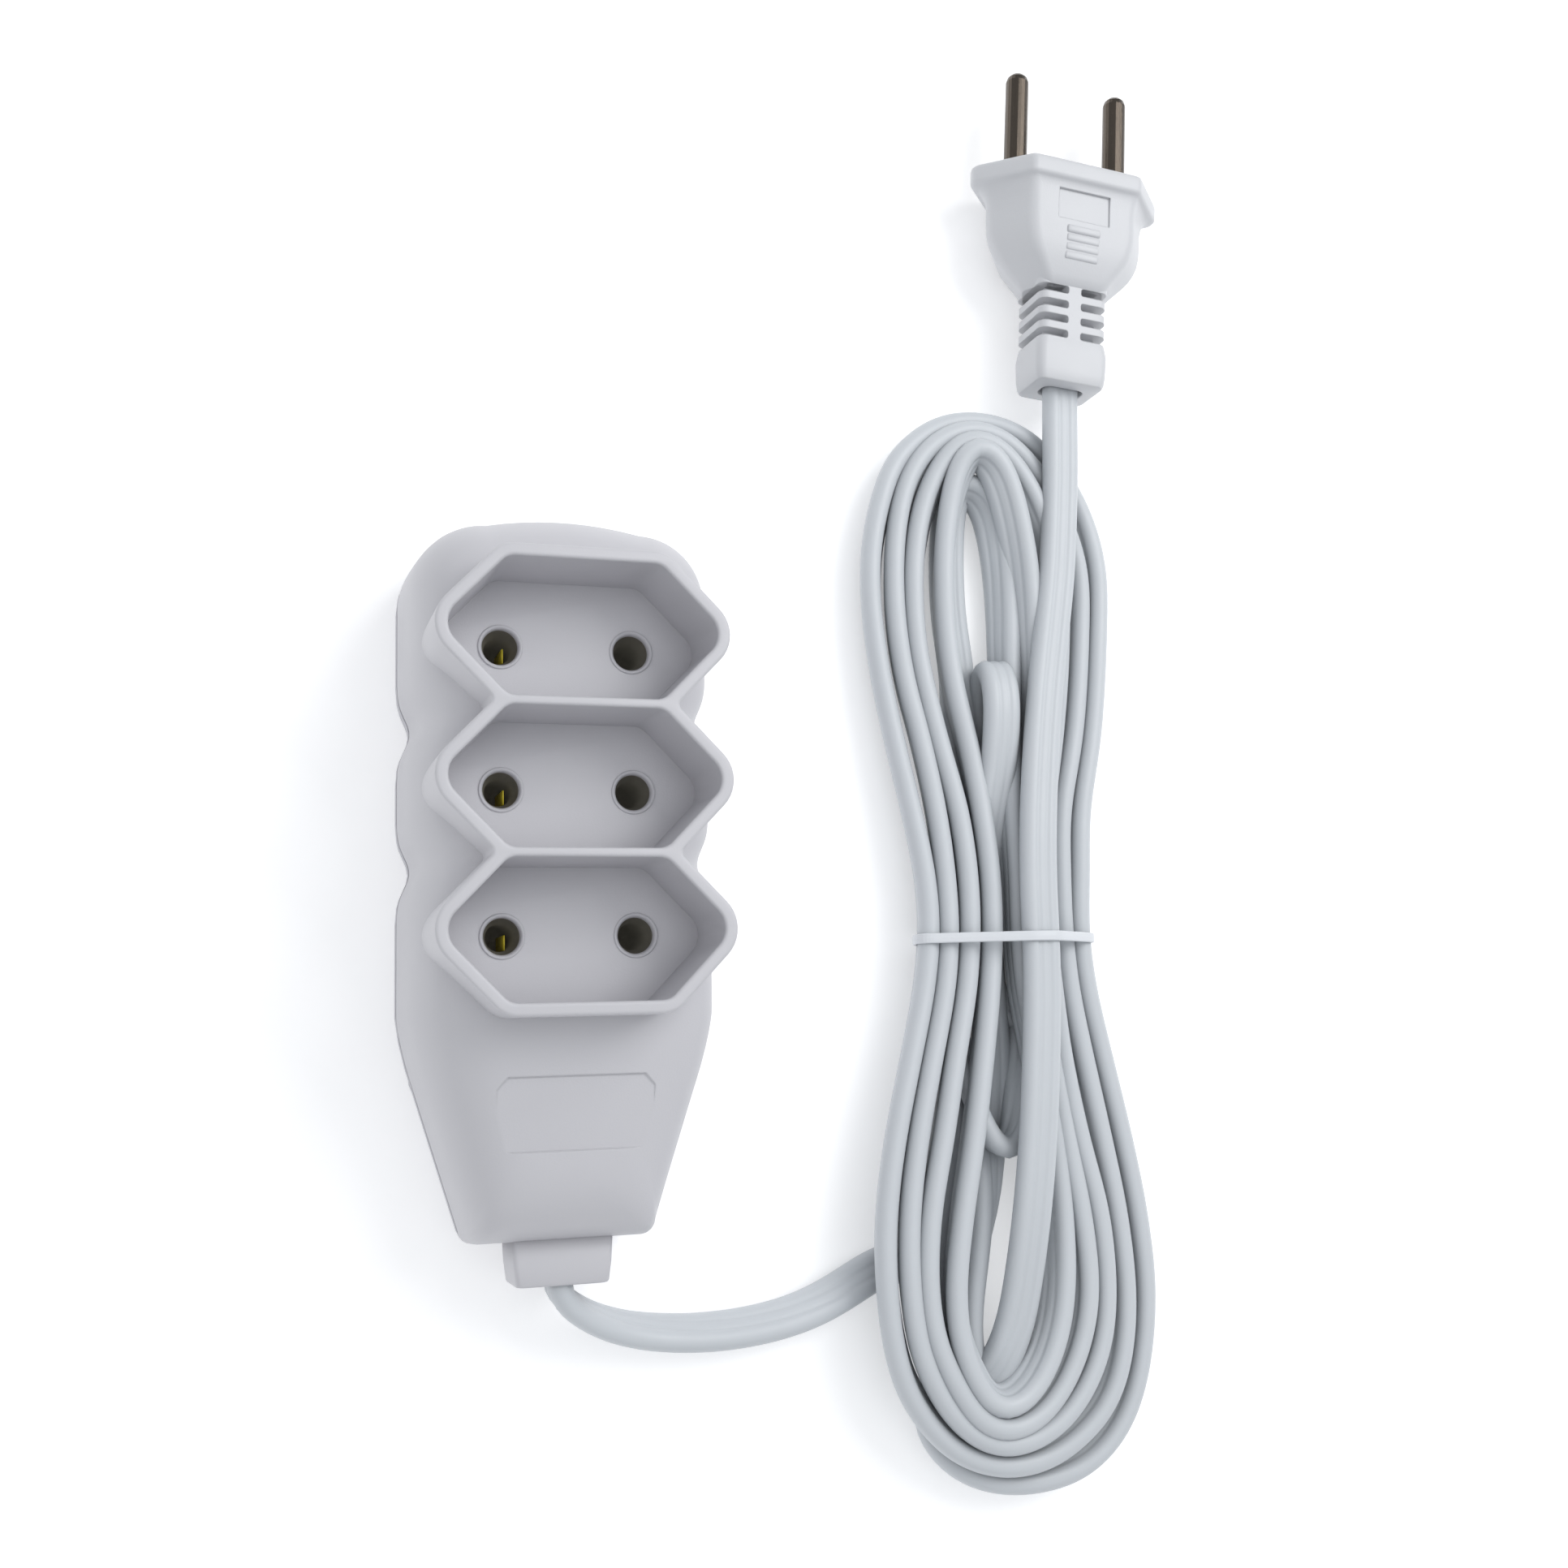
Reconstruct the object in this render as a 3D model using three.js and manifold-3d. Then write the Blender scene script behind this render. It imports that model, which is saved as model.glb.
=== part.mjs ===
// Three-way extension cord: socket block with three six-sided recesses,
// a flat two-core lead folded into a tied hank, and a two-pin moulded plug.
// Millimetres, +Z up. Origin: centre of the block's footprint, on the surface
// that everything lies on. +X runs from pin hole to pin hole, +Y runs along
// the block away from its cord, +Z points out of the sockets.
import * as THREE from 'three';
import * as BufferGeometryUtils from 'three/addons/utils/BufferGeometryUtils.js';
import Module from 'manifold-3d';

const wasm = await Module();
wasm.setup();

// ---------------------------------------------------------------- dimensions
const GAP = 0.3;                 // clearance between touching pieces

// socket block
const BLOCK_TOP_Y = 52.0;        // rounded end
const BLOCK_END_Y = -52.0;       // cord end
const BLOCK_HALF_W = 22.2;       // at the finger bulges
const WAIST_DEPTH = 1.8;         // scallops between the sockets
const TOP_CORNER_R = 11;
const END_HALF_W = 13.0;         // half width at the cord end
const TAPER_START_Y = -20, TAPER_KNEE_Y = -31, KNEE_HALF_W = 19.6;
const PART_Z = 6.0;              // parting plane of the two shells
const FACE_Z = 27.6;             // top of the shell between the collars
const FACE_END_Z = 22.6;         // the same at the cord end
const WALL = 2.0;

// sockets
const SOCKET_Y = 11.0;           // middle socket
const SOCKET_PITCH = 20.5;
const HEX_HALF_W = 20.0;         // recess, at its unrounded side corners
const HEX_HALF_H = 9.6;
const HEX_FLAT_X = 10.7;         // where the long sides end
const HEX_SIDE_R = 3.4;
const HEX_CORNER_R = 1.6;
const COLLAR_WALL = 1.8;
const RIM_Z = 35.4;
const FLOOR_Z = 21.5;
const FLOOR_T = 1.8;
const PIN_SPACING = 19.0;
const HOLE_R = 2.55;
const COUNTERSINK_R = 3.05;

// label panel, blank
const LABEL_Y = -33.8, LABEL_HALF_W = 11.2, LABEL_HALF_H = 5.1, LABEL_CHAMFER = 1.6, LABEL_DEPTH = 0.35;

// flat cord
const CORD_W = 6.3, CORD_T = 3.4;
const CORE_R = 1.25;

// hank
const HANK_Z = 10.4;             // at its waist
const TIE_Y = -9.6, TIE_X0 = 60.2, TIE_X1 = 89.9;
const LEAD_Z = HANK_Z + 2.05;    // the plug's lead lies flat on top

// plug, in its own frame: origin in the middle of the front face, +Y along the pins
const PLUG_POS = [91.6, 121.0, 9.3];
const PLUG_TURN = -4.7;          // degrees about Z
const FLANGE_HALF_W = 18.4, FLANGE_HALF_H = 9.0, FLANGE_FLAT_X = 10.0, FLANGE_T = 3.6;
const PLUG_HALF_W = 15.2, PLUG_HALF_H = 7.7;
const PIN_R = 2.0, PIN_LEN = 19.0;
const BOOT_START_Y = -19.0, BOOT_END_Y = -38.0, BOOT_HALF_W = 6.3, BOOT_HALF_H = 4.9;

// ---------------------------------------------------------------- materials
const mat = (color, roughness, metalness = 0) =>
  new THREE.MeshStandardMaterial({ color, roughness, metalness });
const SHELL = () => mat(0xd9d7dc, 0.42);
const BACK = () => mat(0xd3d1d6, 0.5);
const CORD = () => mat(0xdfe3e8, 0.45);
const PLUG = () => mat(0xe8e9ec, 0.4);
const INNER = () => mat(0xcfcfcf, 0.6);
const BRASS = () => mat(0xc9a347, 0.35, 1);
const NICKEL = () => mat(0xa8a29a, 0.25, 1);
const STEEL = () => mat(0x9a9c9f, 0.35, 1);
const BROWN = () => mat(0x6b4630, 0.55);
const BLUE = () => mat(0x3f78b5, 0.55);

// ---------------------------------------------------------------- solid tools
function solid(geometry) {
  const g = geometry.clone();
  g.deleteAttribute('normal');
  g.deleteAttribute('uv');
  const m = BufferGeometryUtils.mergeVertices(g, 1e-4);
  return new wasm.Manifold(new wasm.Mesh({
    numProp: 3,
    vertProperties: new Float32Array(m.attributes.position.array),
    triVerts: new Uint32Array(m.index.array),
  }));
}
function geometryOf(manifold) {
  const m = manifold.getMesh();
  const g = new THREE.BufferGeometry();
  const pos = new Float32Array((m.vertProperties.length / m.numProp) * 3);
  for (let i = 0; i < pos.length / 3; i++)
    for (let k = 0; k < 3; k++) pos[3 * i + k] = m.vertProperties[i * m.numProp + k];
  g.setAttribute('position', new THREE.BufferAttribute(pos, 3));
  g.setIndex(new THREE.BufferAttribute(new Uint32Array(m.triVerts), 1));
  g.computeVertexNormals();
  return g;
}
const V2 = (x, y) => new THREE.Vector2(x, y);

// polygon with each corner replaced by an arc of its own radius
function rounded(corners, steps = 4) {
  const out = [];
  const n = corners.length;
  corners.forEach(([x, y, r], i) => {
    const p = V2(x, y);
    if (!r) { out.push(p); return; }
    const [ax, ay] = corners[(i + n - 1) % n], [bx, by] = corners[(i + 1) % n];
    const a = V2(ax, ay).sub(p).normalize(), b = V2(bx, by).sub(p).normalize();
    const half = Math.acos(THREE.MathUtils.clamp(a.dot(b), -1, 1)) / 2;
    const d = r / Math.tan(half);
    const c = a.clone().add(b).normalize().multiplyScalar(r / Math.sin(half)).add(p);
    const s = p.clone().addScaledVector(a, d), e = p.clone().addScaledVector(b, d);
    const a0 = Math.atan2(s.y - c.y, s.x - c.x);
    let da = Math.atan2(e.y - c.y, e.x - c.x) - a0;
    while (da > Math.PI) da -= 2 * Math.PI;
    while (da < -Math.PI) da += 2 * Math.PI;
    for (let k = 0; k <= steps; k++) {
      const t = a0 + da * k / steps;
      out.push(V2(c.x + r * Math.cos(t), c.y + r * Math.sin(t)));
    }
  });
  return out;
}
function prism(points, z0, z1) {
  const g = new THREE.ExtrudeGeometry(new THREE.Shape(points), { depth: z1 - z0, bevelEnabled: false });
  g.translate(0, 0, z0);
  return solid(g);
}
function box(x0, x1, y0, y1, z0, z1) {
  const g = new THREE.BoxGeometry(x1 - x0, y1 - y0, z1 - z0);
  g.translate((x0 + x1) / 2, (y0 + y1) / 2, (z0 + z1) / 2);
  return solid(g);
}
// cylinder or cone along z
function rod(x, y, z0, z1, r0, r1 = r0, sides = 24) {
  const g = new THREE.CylinderGeometry(r1, r0, z1 - z0, sides);
  g.rotateX(Math.PI / 2);
  g.translate(x, y, (z0 + z1) / 2);
  return solid(g);
}
// cylinder or cone along y
function rodY(x, z, y0, y1, r0, r1 = r0, sides = 24) {
  const g = new THREE.CylinderGeometry(r1, r0, y1 - y0, sides);
  g.translate(x, (y0 + y1) / 2, z);
  return solid(g);
}
// closed skin over a list of rings that all have the same number of points
function loft(rings) {
  const n = rings[0].length;
  const pos = [];
  rings.forEach(r => r.forEach(p => pos.push(p.x, p.y, p.z)));
  const idx = [];
  for (let k = 0; k + 1 < rings.length; k++)
    for (let i = 0; i < n; i++) {
      const a = k * n + i, b = k * n + (i + 1) % n, c = a + n, d = b + n;
      idx.push(a, b, d, a, d, c);
    }
  const flat = ring => {
    const o = ring[0];
    const nrm = new THREE.Vector3();
    for (let i = 0; i < n; i++) {
      const p = ring[i], q = ring[(i + 1) % n];
      nrm.add(new THREE.Vector3().crossVectors(p.clone().sub(o), q.clone().sub(o)));
    }
    nrm.normalize();
    const u = new THREE.Vector3().subVectors(ring[1], ring[0]).normalize();
    u.addScaledVector(nrm, -u.dot(nrm)).normalize();
    const v = new THREE.Vector3().crossVectors(nrm, u);
    return ring.map(p => V2(p.clone().sub(o).dot(u), p.clone().sub(o).dot(v)));
  };
  const capTris = ring => THREE.ShapeUtils.triangulateShape(flat(ring), []);
  capTris(rings[0]).forEach(t => idx.push(t[0], t[2], t[1]));
  const off = (rings.length - 1) * n;
  capTris(rings[rings.length - 1]).forEach(t => idx.push(off + t[0], off + t[1], off + t[2]));
  // faces point outwards whichever way round the rings run
  let vol = 0;
  const P = i => new THREE.Vector3(pos[3 * i], pos[3 * i + 1], pos[3 * i + 2]);
  for (let i = 0; i < idx.length; i += 3) vol += P(idx[i]).dot(P(idx[i + 1]).cross(P(idx[i + 2])));
  if (vol < 0) for (let i = 0; i < idx.length; i += 3) [idx[i + 1], idx[i + 2]] = [idx[i + 2], idx[i + 1]];
  const g = new THREE.BufferGeometry();
  g.setAttribute('position', new THREE.BufferAttribute(new Float32Array(pos), 3));
  g.setIndex(idx);
  return solid(g);
}
// cross-section rings across the y axis, for the plug
const ringY = (pts, y) => pts.map(p => new THREE.Vector3(p.x, y, -p.y));
// tube of a flat or round section along a smooth path
class Route extends THREE.CatmullRomCurve3 {
  constructor(points) { super(points.map(p => new THREE.Vector3(...p)), false, 'centripetal'); }
}
// ellipse-like section; "up" is its extent along the path frame's normal
function section(up, across, sides) {
  const pts = [];
  for (let i = 0; i < sides; i++) {
    const t = 2 * Math.PI * (i + 0.5) / sides;
    const c = Math.cos(t), s = Math.sin(t);
    pts.push(V2(up / 2 * Math.sign(c) * Math.abs(c) ** 0.75, across / 2 * Math.sign(s) * Math.abs(s) ** 0.75));
  }
  return new THREE.Shape(pts);
}
function tube(points, up, across, steps, sides = 12) {
  return solid(new THREE.ExtrudeGeometry(section(up, across, sides),
    { steps, bevelEnabled: false, extrudePath: new Route(points) }));
}

const root = new THREE.Group();
function piece(name, manifold, material, parent = root) {
  const m = new THREE.Mesh(geometryOf(manifold), material);
  m.name = name;
  parent.add(m);
  return m;
}

// ---------------------------------------------------------------- block outline
// half outline from the rounded end to the cord end, shrunk by "inset";
// the point count never changes, so outlines loft onto each other
const smooth = t => { const c = THREE.MathUtils.clamp(t, 0, 1); return c * c * (3 - 2 * c); };
const WAISTS = [SOCKET_Y + SOCKET_PITCH / 2, SOCKET_Y - SOCKET_PITCH / 2];
const SIDE_YS = [];
for (const yw of WAISTS) for (const d of [7.4, 4.9, 3.7, 2.5, 1.25, 0, -1.25, -2.5, -3.7, -4.9, -7.4]) SIDE_YS.push(yw + d);
SIDE_YS.push(TAPER_START_Y, -23.6, -27.2, TAPER_KNEE_Y);
function sideX(y, inset) {
  let w = BLOCK_HALF_W;
  for (const yw of WAISTS) if (Math.abs(y - yw) < 7) w -= WAIST_DEPTH * Math.exp(-(((y - yw) / 3.3) ** 2));
  if (y < TAPER_KNEE_Y) w = KNEE_HALF_W - (KNEE_HALF_W - END_HALF_W) * (TAPER_KNEE_Y - y) / (TAPER_KNEE_Y - BLOCK_END_Y);
  else if (y < TAPER_START_Y) w -= (BLOCK_HALF_W - KNEE_HALF_W) * ((TAPER_START_Y - y) / (TAPER_START_Y - TAPER_KNEE_Y)) ** 1.4;
  return w - inset;
}
function outline(inset) {
  const half = [];
  const rc = Math.max(TOP_CORNER_R - inset, 1.5);
  const yT = BLOCK_TOP_Y - inset, w = BLOCK_HALF_W - inset;
  const cy = yT - rc - 1.2;
  half.push([0, yT]);
  for (const f of [0.3, 0.62, 0.86]) half.push([f * (w - rc), yT - 1.2 * f * f]);
  for (let k = 0; k <= 7; k++) {
    const a = Math.PI / 2 * (1 - k / 7);
    half.push([w - rc + rc * Math.cos(a), cy + rc * Math.sin(a)]);
  }
  const yE = BLOCK_END_Y + inset;
  for (const y of [...SIDE_YS, yE + Math.max(1.6 - inset, 0.3)]) half.push([sideX(y, inset), y]);
  const last = half[half.length - 1];
  const re = Math.max(1.6 - inset, 0.3);
  half.push([last[0] - re * 0.35, yE + re * 0.3]);
  half.push([last[0] - re, yE]);
  half.push([last[0] * 0.45, yE]);
  const pts = half.map(([x, y]) => V2(x, y));
  for (let i = half.length - 1; i > 0; i--) pts.push(V2(-half[i][0], half[i][1]));
  return pts;               // clockwise
}
const dropAt = y => {
  const k = smooth((-12 - y) / 42);
  return 1 - (1 - (FACE_END_Z - PART_Z) / (FACE_Z - PART_Z)) * k;
};
// ring of the block at height z; above the parting plane the cord end is lower
const ring = (inset, z) => outline(inset).reverse().map(p =>
  new THREE.Vector3(p.x, p.y, z <= PART_Z ? z : PART_Z + (z - PART_Z) * dropAt(p.y)));

// six-sided recess outline, grown by d
function hexagon(y, d) {
  const s = Math.hypot(HEX_HALF_W - HEX_FLAT_X, HEX_HALF_H);
  const nx = HEX_HALF_H / s, ny = (HEX_HALF_W - HEX_FLAT_X) / s;
  const w = HEX_HALF_W + d / nx, h = HEX_HALF_H + d;
  const flat = HEX_FLAT_X + d * (1 - ny) / nx;
  const rs = HEX_SIDE_R + d, rc = HEX_CORNER_R + d;
  return rounded([[w, y, rs], [flat, y + h, rc], [-flat, y + h, rc], [-w, y, rs], [-flat, y - h, rc], [flat, y - h, rc]], 5);
}
const SOCKETS = [SOCKET_Y + SOCKET_PITCH, SOCKET_Y, SOCKET_Y - SOCKET_PITCH];
const CASE_SCREWS = [[0, 47.2], [-15.6, -28.5], [15.6, -28.5]];
const CLAMP_Y = -41.5, CLAMP_SCREW_X = 8.0;
const CORD_Z = 10.4;             // cord axis through the end wall

// ---------------------------------------------------------------- front shell
{
  const dome = d => loft([ring(d, PART_Z), ring(d + 0.45, 16), ring(d + 1.3, 20.3), ring(d + 2.6, 23.2), ring(d + 4.3, 25.4), ring(d + 6.4, 26.8), ring(d + 9.2, FACE_Z)]);
  let s = dome(0);
  const inside = dome(0.9);
  const c = loft([ring(WALL, PART_Z - 1), ring(WALL + 0.45, 15.5), ring(WALL + 2.0, 20.6), ring(WALL + 4.6, 23.6), ring(WALL + 7.0, FACE_Z - WALL)]);
  s = s.subtract(c);
  for (const y of SOCKETS) s = s.add(prism(hexagon(y, COLLAR_WALL), FLOOR_Z - FLOOR_T, RIM_Z));
  for (const y of SOCKETS) {
    s = s.subtract(prism(hexagon(y, 0), FLOOR_Z, RIM_Z + 1));
    for (const x of [-PIN_SPACING / 2, PIN_SPACING / 2]) {
      s = s.subtract(rod(x, y, FLOOR_Z - FLOOR_T - 1, FLOOR_Z + 1, HOLE_R, HOLE_R, 28));
      s = s.subtract(rod(x, y, FLOOR_Z - 0.5, FLOOR_Z + 0.02, HOLE_R, COUNTERSINK_R, 28));
    }
  }
  // screw bosses, from the roof down to the parting plane
  for (const [x, y] of CASE_SCREWS) {
    s = s.add(rod(x, y, PART_Z + 0.2, 25, 3.1, 3.1, 20).intersect(inside));
    s = s.subtract(rod(x, y, PART_Z - 1, 17, 1.45, 1.45, 16));
  }
  // blank label panel
  const L = [[-LABEL_HALF_W, -LABEL_HALF_H], [LABEL_HALF_W, -LABEL_HALF_H], [LABEL_HALF_W, LABEL_HALF_H], [-LABEL_HALF_W, LABEL_HALF_H]];
  const ch = LABEL_CHAMFER;
  const panel = [];
  L.forEach(([x, y]) => {
    const sx = Math.sign(x), sy = Math.sign(y);
    const a = [x - sx * ch, y + LABEL_Y], b = [x, y - sy * ch + LABEL_Y];
    if (sx * sy > 0) panel.push(b, a); else panel.push(a, b);
  });
  const g = new THREE.ExtrudeGeometry(new THREE.Shape(panel.map(p => V2(...p))), { depth: 6, bevelEnabled: false });
  // the panel floor follows the local slope of the face
  const zc = PART_Z + (FACE_Z - PART_Z) * dropAt(LABEL_Y);
  const dz = (FACE_Z - PART_Z) * (dropAt(LABEL_Y + 4) - dropAt(LABEL_Y - 4)) / 8;
  const pa = g.attributes.position;
  for (let i = 0; i < pa.count; i++) pa.setZ(i, pa.getZ(i) + zc - LABEL_DEPTH + dz * (pa.getY(i) - LABEL_Y));
  s = s.subtract(solid(g));
  // passage for the cord grommet
  s = s.subtract(box(-5.2, 5.2, BLOCK_END_Y - 2, BLOCK_END_Y + 4, CORD_Z - 5.6, CORD_Z + 4.6));
  piece('front_shell', s, SHELL());
}

// ---------------------------------------------------------------- rear cover
{
  const TOP = PART_Z - GAP;
  const flatRing = (inset, z) => ring(inset, z);
  let s = loft([flatRing(1.3, 0), flatRing(0.5, 0.8), flatRing(0.1, 3.2), flatRing(0.0, TOP)]);
  s = s.subtract(loft([flatRing(WALL + 0.8, 1.9), flatRing(WALL + 0.1, 3.0), flatRing(WALL, TOP + 1)]));
  for (const [x, y] of CASE_SCREWS) {
    s = s.add(rod(x, y, 1.5, TOP - 0.1, 4.4, 4.0, 24));
    s = s.subtract(rod(x, y, -1, TOP + 1, 1.75, 1.75, 20));
    s = s.subtract(rod(x, y, -1, 2.3, 3.4, 3.4, 24));
  }
  // saddles that carry the two busbars, one pair of cheeks each side of a socket
  for (const sx of [-1, 1]) for (const y of [...SOCKETS.map(v => v - 10.3), SOCKETS[0] + 6.4])
    s = s.add(box(sx * 12.2 - 2.4, sx * 12.2 + 2.4, y - 1, y + 1, 1.5, 8.2));
  // cord clamp pad with its two screw posts
  s = s.add(box(-11.0, 11.0, CLAMP_Y - 3, CLAMP_Y + 3, 1.5, CORD_Z - CORD_T / 2 - GAP));
  for (const sx of [-1, 1]) s = s.subtract(rod(sx * CLAMP_SCREW_X, CLAMP_Y, 2.4, 12, 1.1, 1.1, 16));
  s = s.subtract(box(-5.2, 5.2, BLOCK_END_Y - 2, BLOCK_END_Y + 4, CORD_Z - 5.6, CORD_Z + 4.6));
  piece('rear_cover', s, BACK());
}

// ---------------------------------------------------------------- case screws
CASE_SCREWS.forEach(([x, y], i) => {
  let s = rod(x, y, 0.5, 2.0, 2.9, 2.9, 20).add(rod(x, y, 1.9, 15.0, 1.15, 1.15, 14));
  s = s.subtract(box(x - 2.0, x + 2.0, y - 0.35, y + 0.35, 0.3, 1.3));
  s = s.subtract(box(x - 0.35, x + 0.35, y - 2.0, y + 2.0, 0.3, 1.3));
  piece(`case_screw_${i + 1}`, s, STEEL());
});

// ---------------------------------------------------------------- busbars
// each is a brass strip on edge, with one spring leaf folded back beside every pin hole
for (const [name, sx] of [['busbar_left', -1], ['busbar_right', 1]]) {
  const xc = sx * PIN_SPACING / 2;
  const X = (a, b) => [Math.min(xc + sx * a, xc + sx * b), Math.max(xc + sx * a, xc + sx * b)];
  const Z0 = 8.5, Z1 = 17.6;
  let s = box(...X(2.1, 2.8), SOCKETS[2] - 13.4, SOCKETS[0] + 4.6, Z0, Z1);
  for (const y of SOCKETS) {
    s = s.add(box(...X(-2.6, 2.4), y + 3.6, y + 4.2, Z0, Z1 - 2));
    s = s.add(box(...X(-2.6, -2.0), y - 3.6, y + 3.9, Z0, Z1 - 0.6));
  }
  piece(name, s, BRASS());
}

// ---------------------------------------------------------------- cores inside the block
const CORE_Z = CORD_Z;
for (const [side, sx, m] of [['left', -1, BROWN], ['right', 1, BLUE]]) {
  const x1 = sx * (PIN_SPACING / 2 + 4.3);
  const yEnd = SOCKETS[2] - 8.0;
  piece(`core_${side}`, tube([
    [sx * 1.55, -37.6, CORE_Z], [sx * 1.9, -35.6, CORE_Z], [sx * 4.6, -32.6, CORE_Z + 0.6], [sx * 8.4, -29.4, CORE_Z + 1.0],
    [sx * 10.9, -26.4, 12.2], [x1 - sx * 0.1, -23.4, 13.0], [x1, -20.6, 13.2], [x1, yEnd, 13.2]], CORE_R * 2, CORE_R * 2, 22, 8), m());
  // crimp sleeve on the stripped end, against the busbar tab
  let c = box(x1 - 1.35, x1 + 1.35, yEnd + GAP, yEnd + 5.2, 11.6, 14.8);
  c = c.subtract(rodY(x1, 13.2, yEnd - 1, yEnd + 2.2, 0.55, 0.55, 12));
  piece(`crimp_${side}`, c, BRASS());
}

// ---------------------------------------------------------------- cord clamp
{
  const z0 = CORD_Z + CORD_T / 2 + GAP;
  let s = box(-11.0, 11.0, CLAMP_Y - 2.4, CLAMP_Y + 2.4, z0, z0 + 2.4);
  for (const sx of [-1, 1]) {
    s = s.add(box(sx * 8.0 - 2.4, sx * 8.0 + 2.4, CLAMP_Y - 2.4, CLAMP_Y + 2.4, CORD_Z - CORD_T / 2 + 0.2, z0 + 1));
    s = s.subtract(rod(sx * CLAMP_SCREW_X, CLAMP_Y, 5, 20, 1.5, 1.5, 18));
  }
  piece('cord_clamp', s, INNER());
  for (const [side, sx] of [['left', -1], ['right', 1]]) {
    const x = sx * CLAMP_SCREW_X, zt = z0 + 2.4 + GAP;
    let c = rod(x, CLAMP_Y, zt, zt + 1.6, 2.3, 2.1, 18).add(rod(x, CLAMP_Y, 3.0, zt + 0.1, 0.8, 0.8, 12));
    c = c.subtract(box(x - 2.6, x + 2.6, CLAMP_Y - 0.3, CLAMP_Y + 0.3, zt + 0.9, zt + 2));
    piece(`clamp_screw_${side}`, c, STEEL());
  }
  // sheathed end of the cord, under the clamp and through the grommet
  piece('cord_inner_end', tube([[0, -38.0, CORD_Z], [0, -42, CORD_Z], [0, -50, CORD_Z], [0, -57.4, CORD_Z]], CORD_T, CORD_W, 8, 12), CORD());
}

// ---------------------------------------------------------------- cord grommet
const NECK_END_Y = BLOCK_END_Y - 5.8;
{
  const z0 = CORD_Z - 4.9, z1 = CORD_Z + 3.6;
  // collar groove seated in the end wall, then the square neck outside
  let s = box(-4.9, 4.9, BLOCK_END_Y - 0.6, BLOCK_END_Y + 3.4, z0, z1);
  const neck = (hw, y, a, b) => ringY(rounded([[hw, -b, 0.9], [hw, -a, 0.9], [-hw, -a, 0.9], [-hw, -b, 0.9]], 3), y);
  s = s.add(loft([neck(7.5, BLOCK_END_Y - GAP, z0 - 0.6, z1 + 0.8), neck(7.3, BLOCK_END_Y - 2.5, z0 - 0.6, z1 + 0.8), neck(7.0, NECK_END_Y, z0 - 0.2, z1 + 0.5)]));
  const slot = rounded([[CORD_W / 2 + GAP, -(CORD_Z - CORD_T / 2 - GAP), 1.6], [CORD_W / 2 + GAP, -(CORD_Z + CORD_T / 2 + GAP), 1.6],
    [-CORD_W / 2 - GAP, -(CORD_Z + CORD_T / 2 + GAP), 1.6], [-CORD_W / 2 - GAP, -(CORD_Z - CORD_T / 2 - GAP), 1.6]], 3);
  let hole = loft([ringY(slot, BLOCK_END_Y + 5), ringY(slot, NECK_END_Y - 1)]);
  s = s.subtract(hole);
  piece('cord_grommet', s, SHELL());
}

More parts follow.
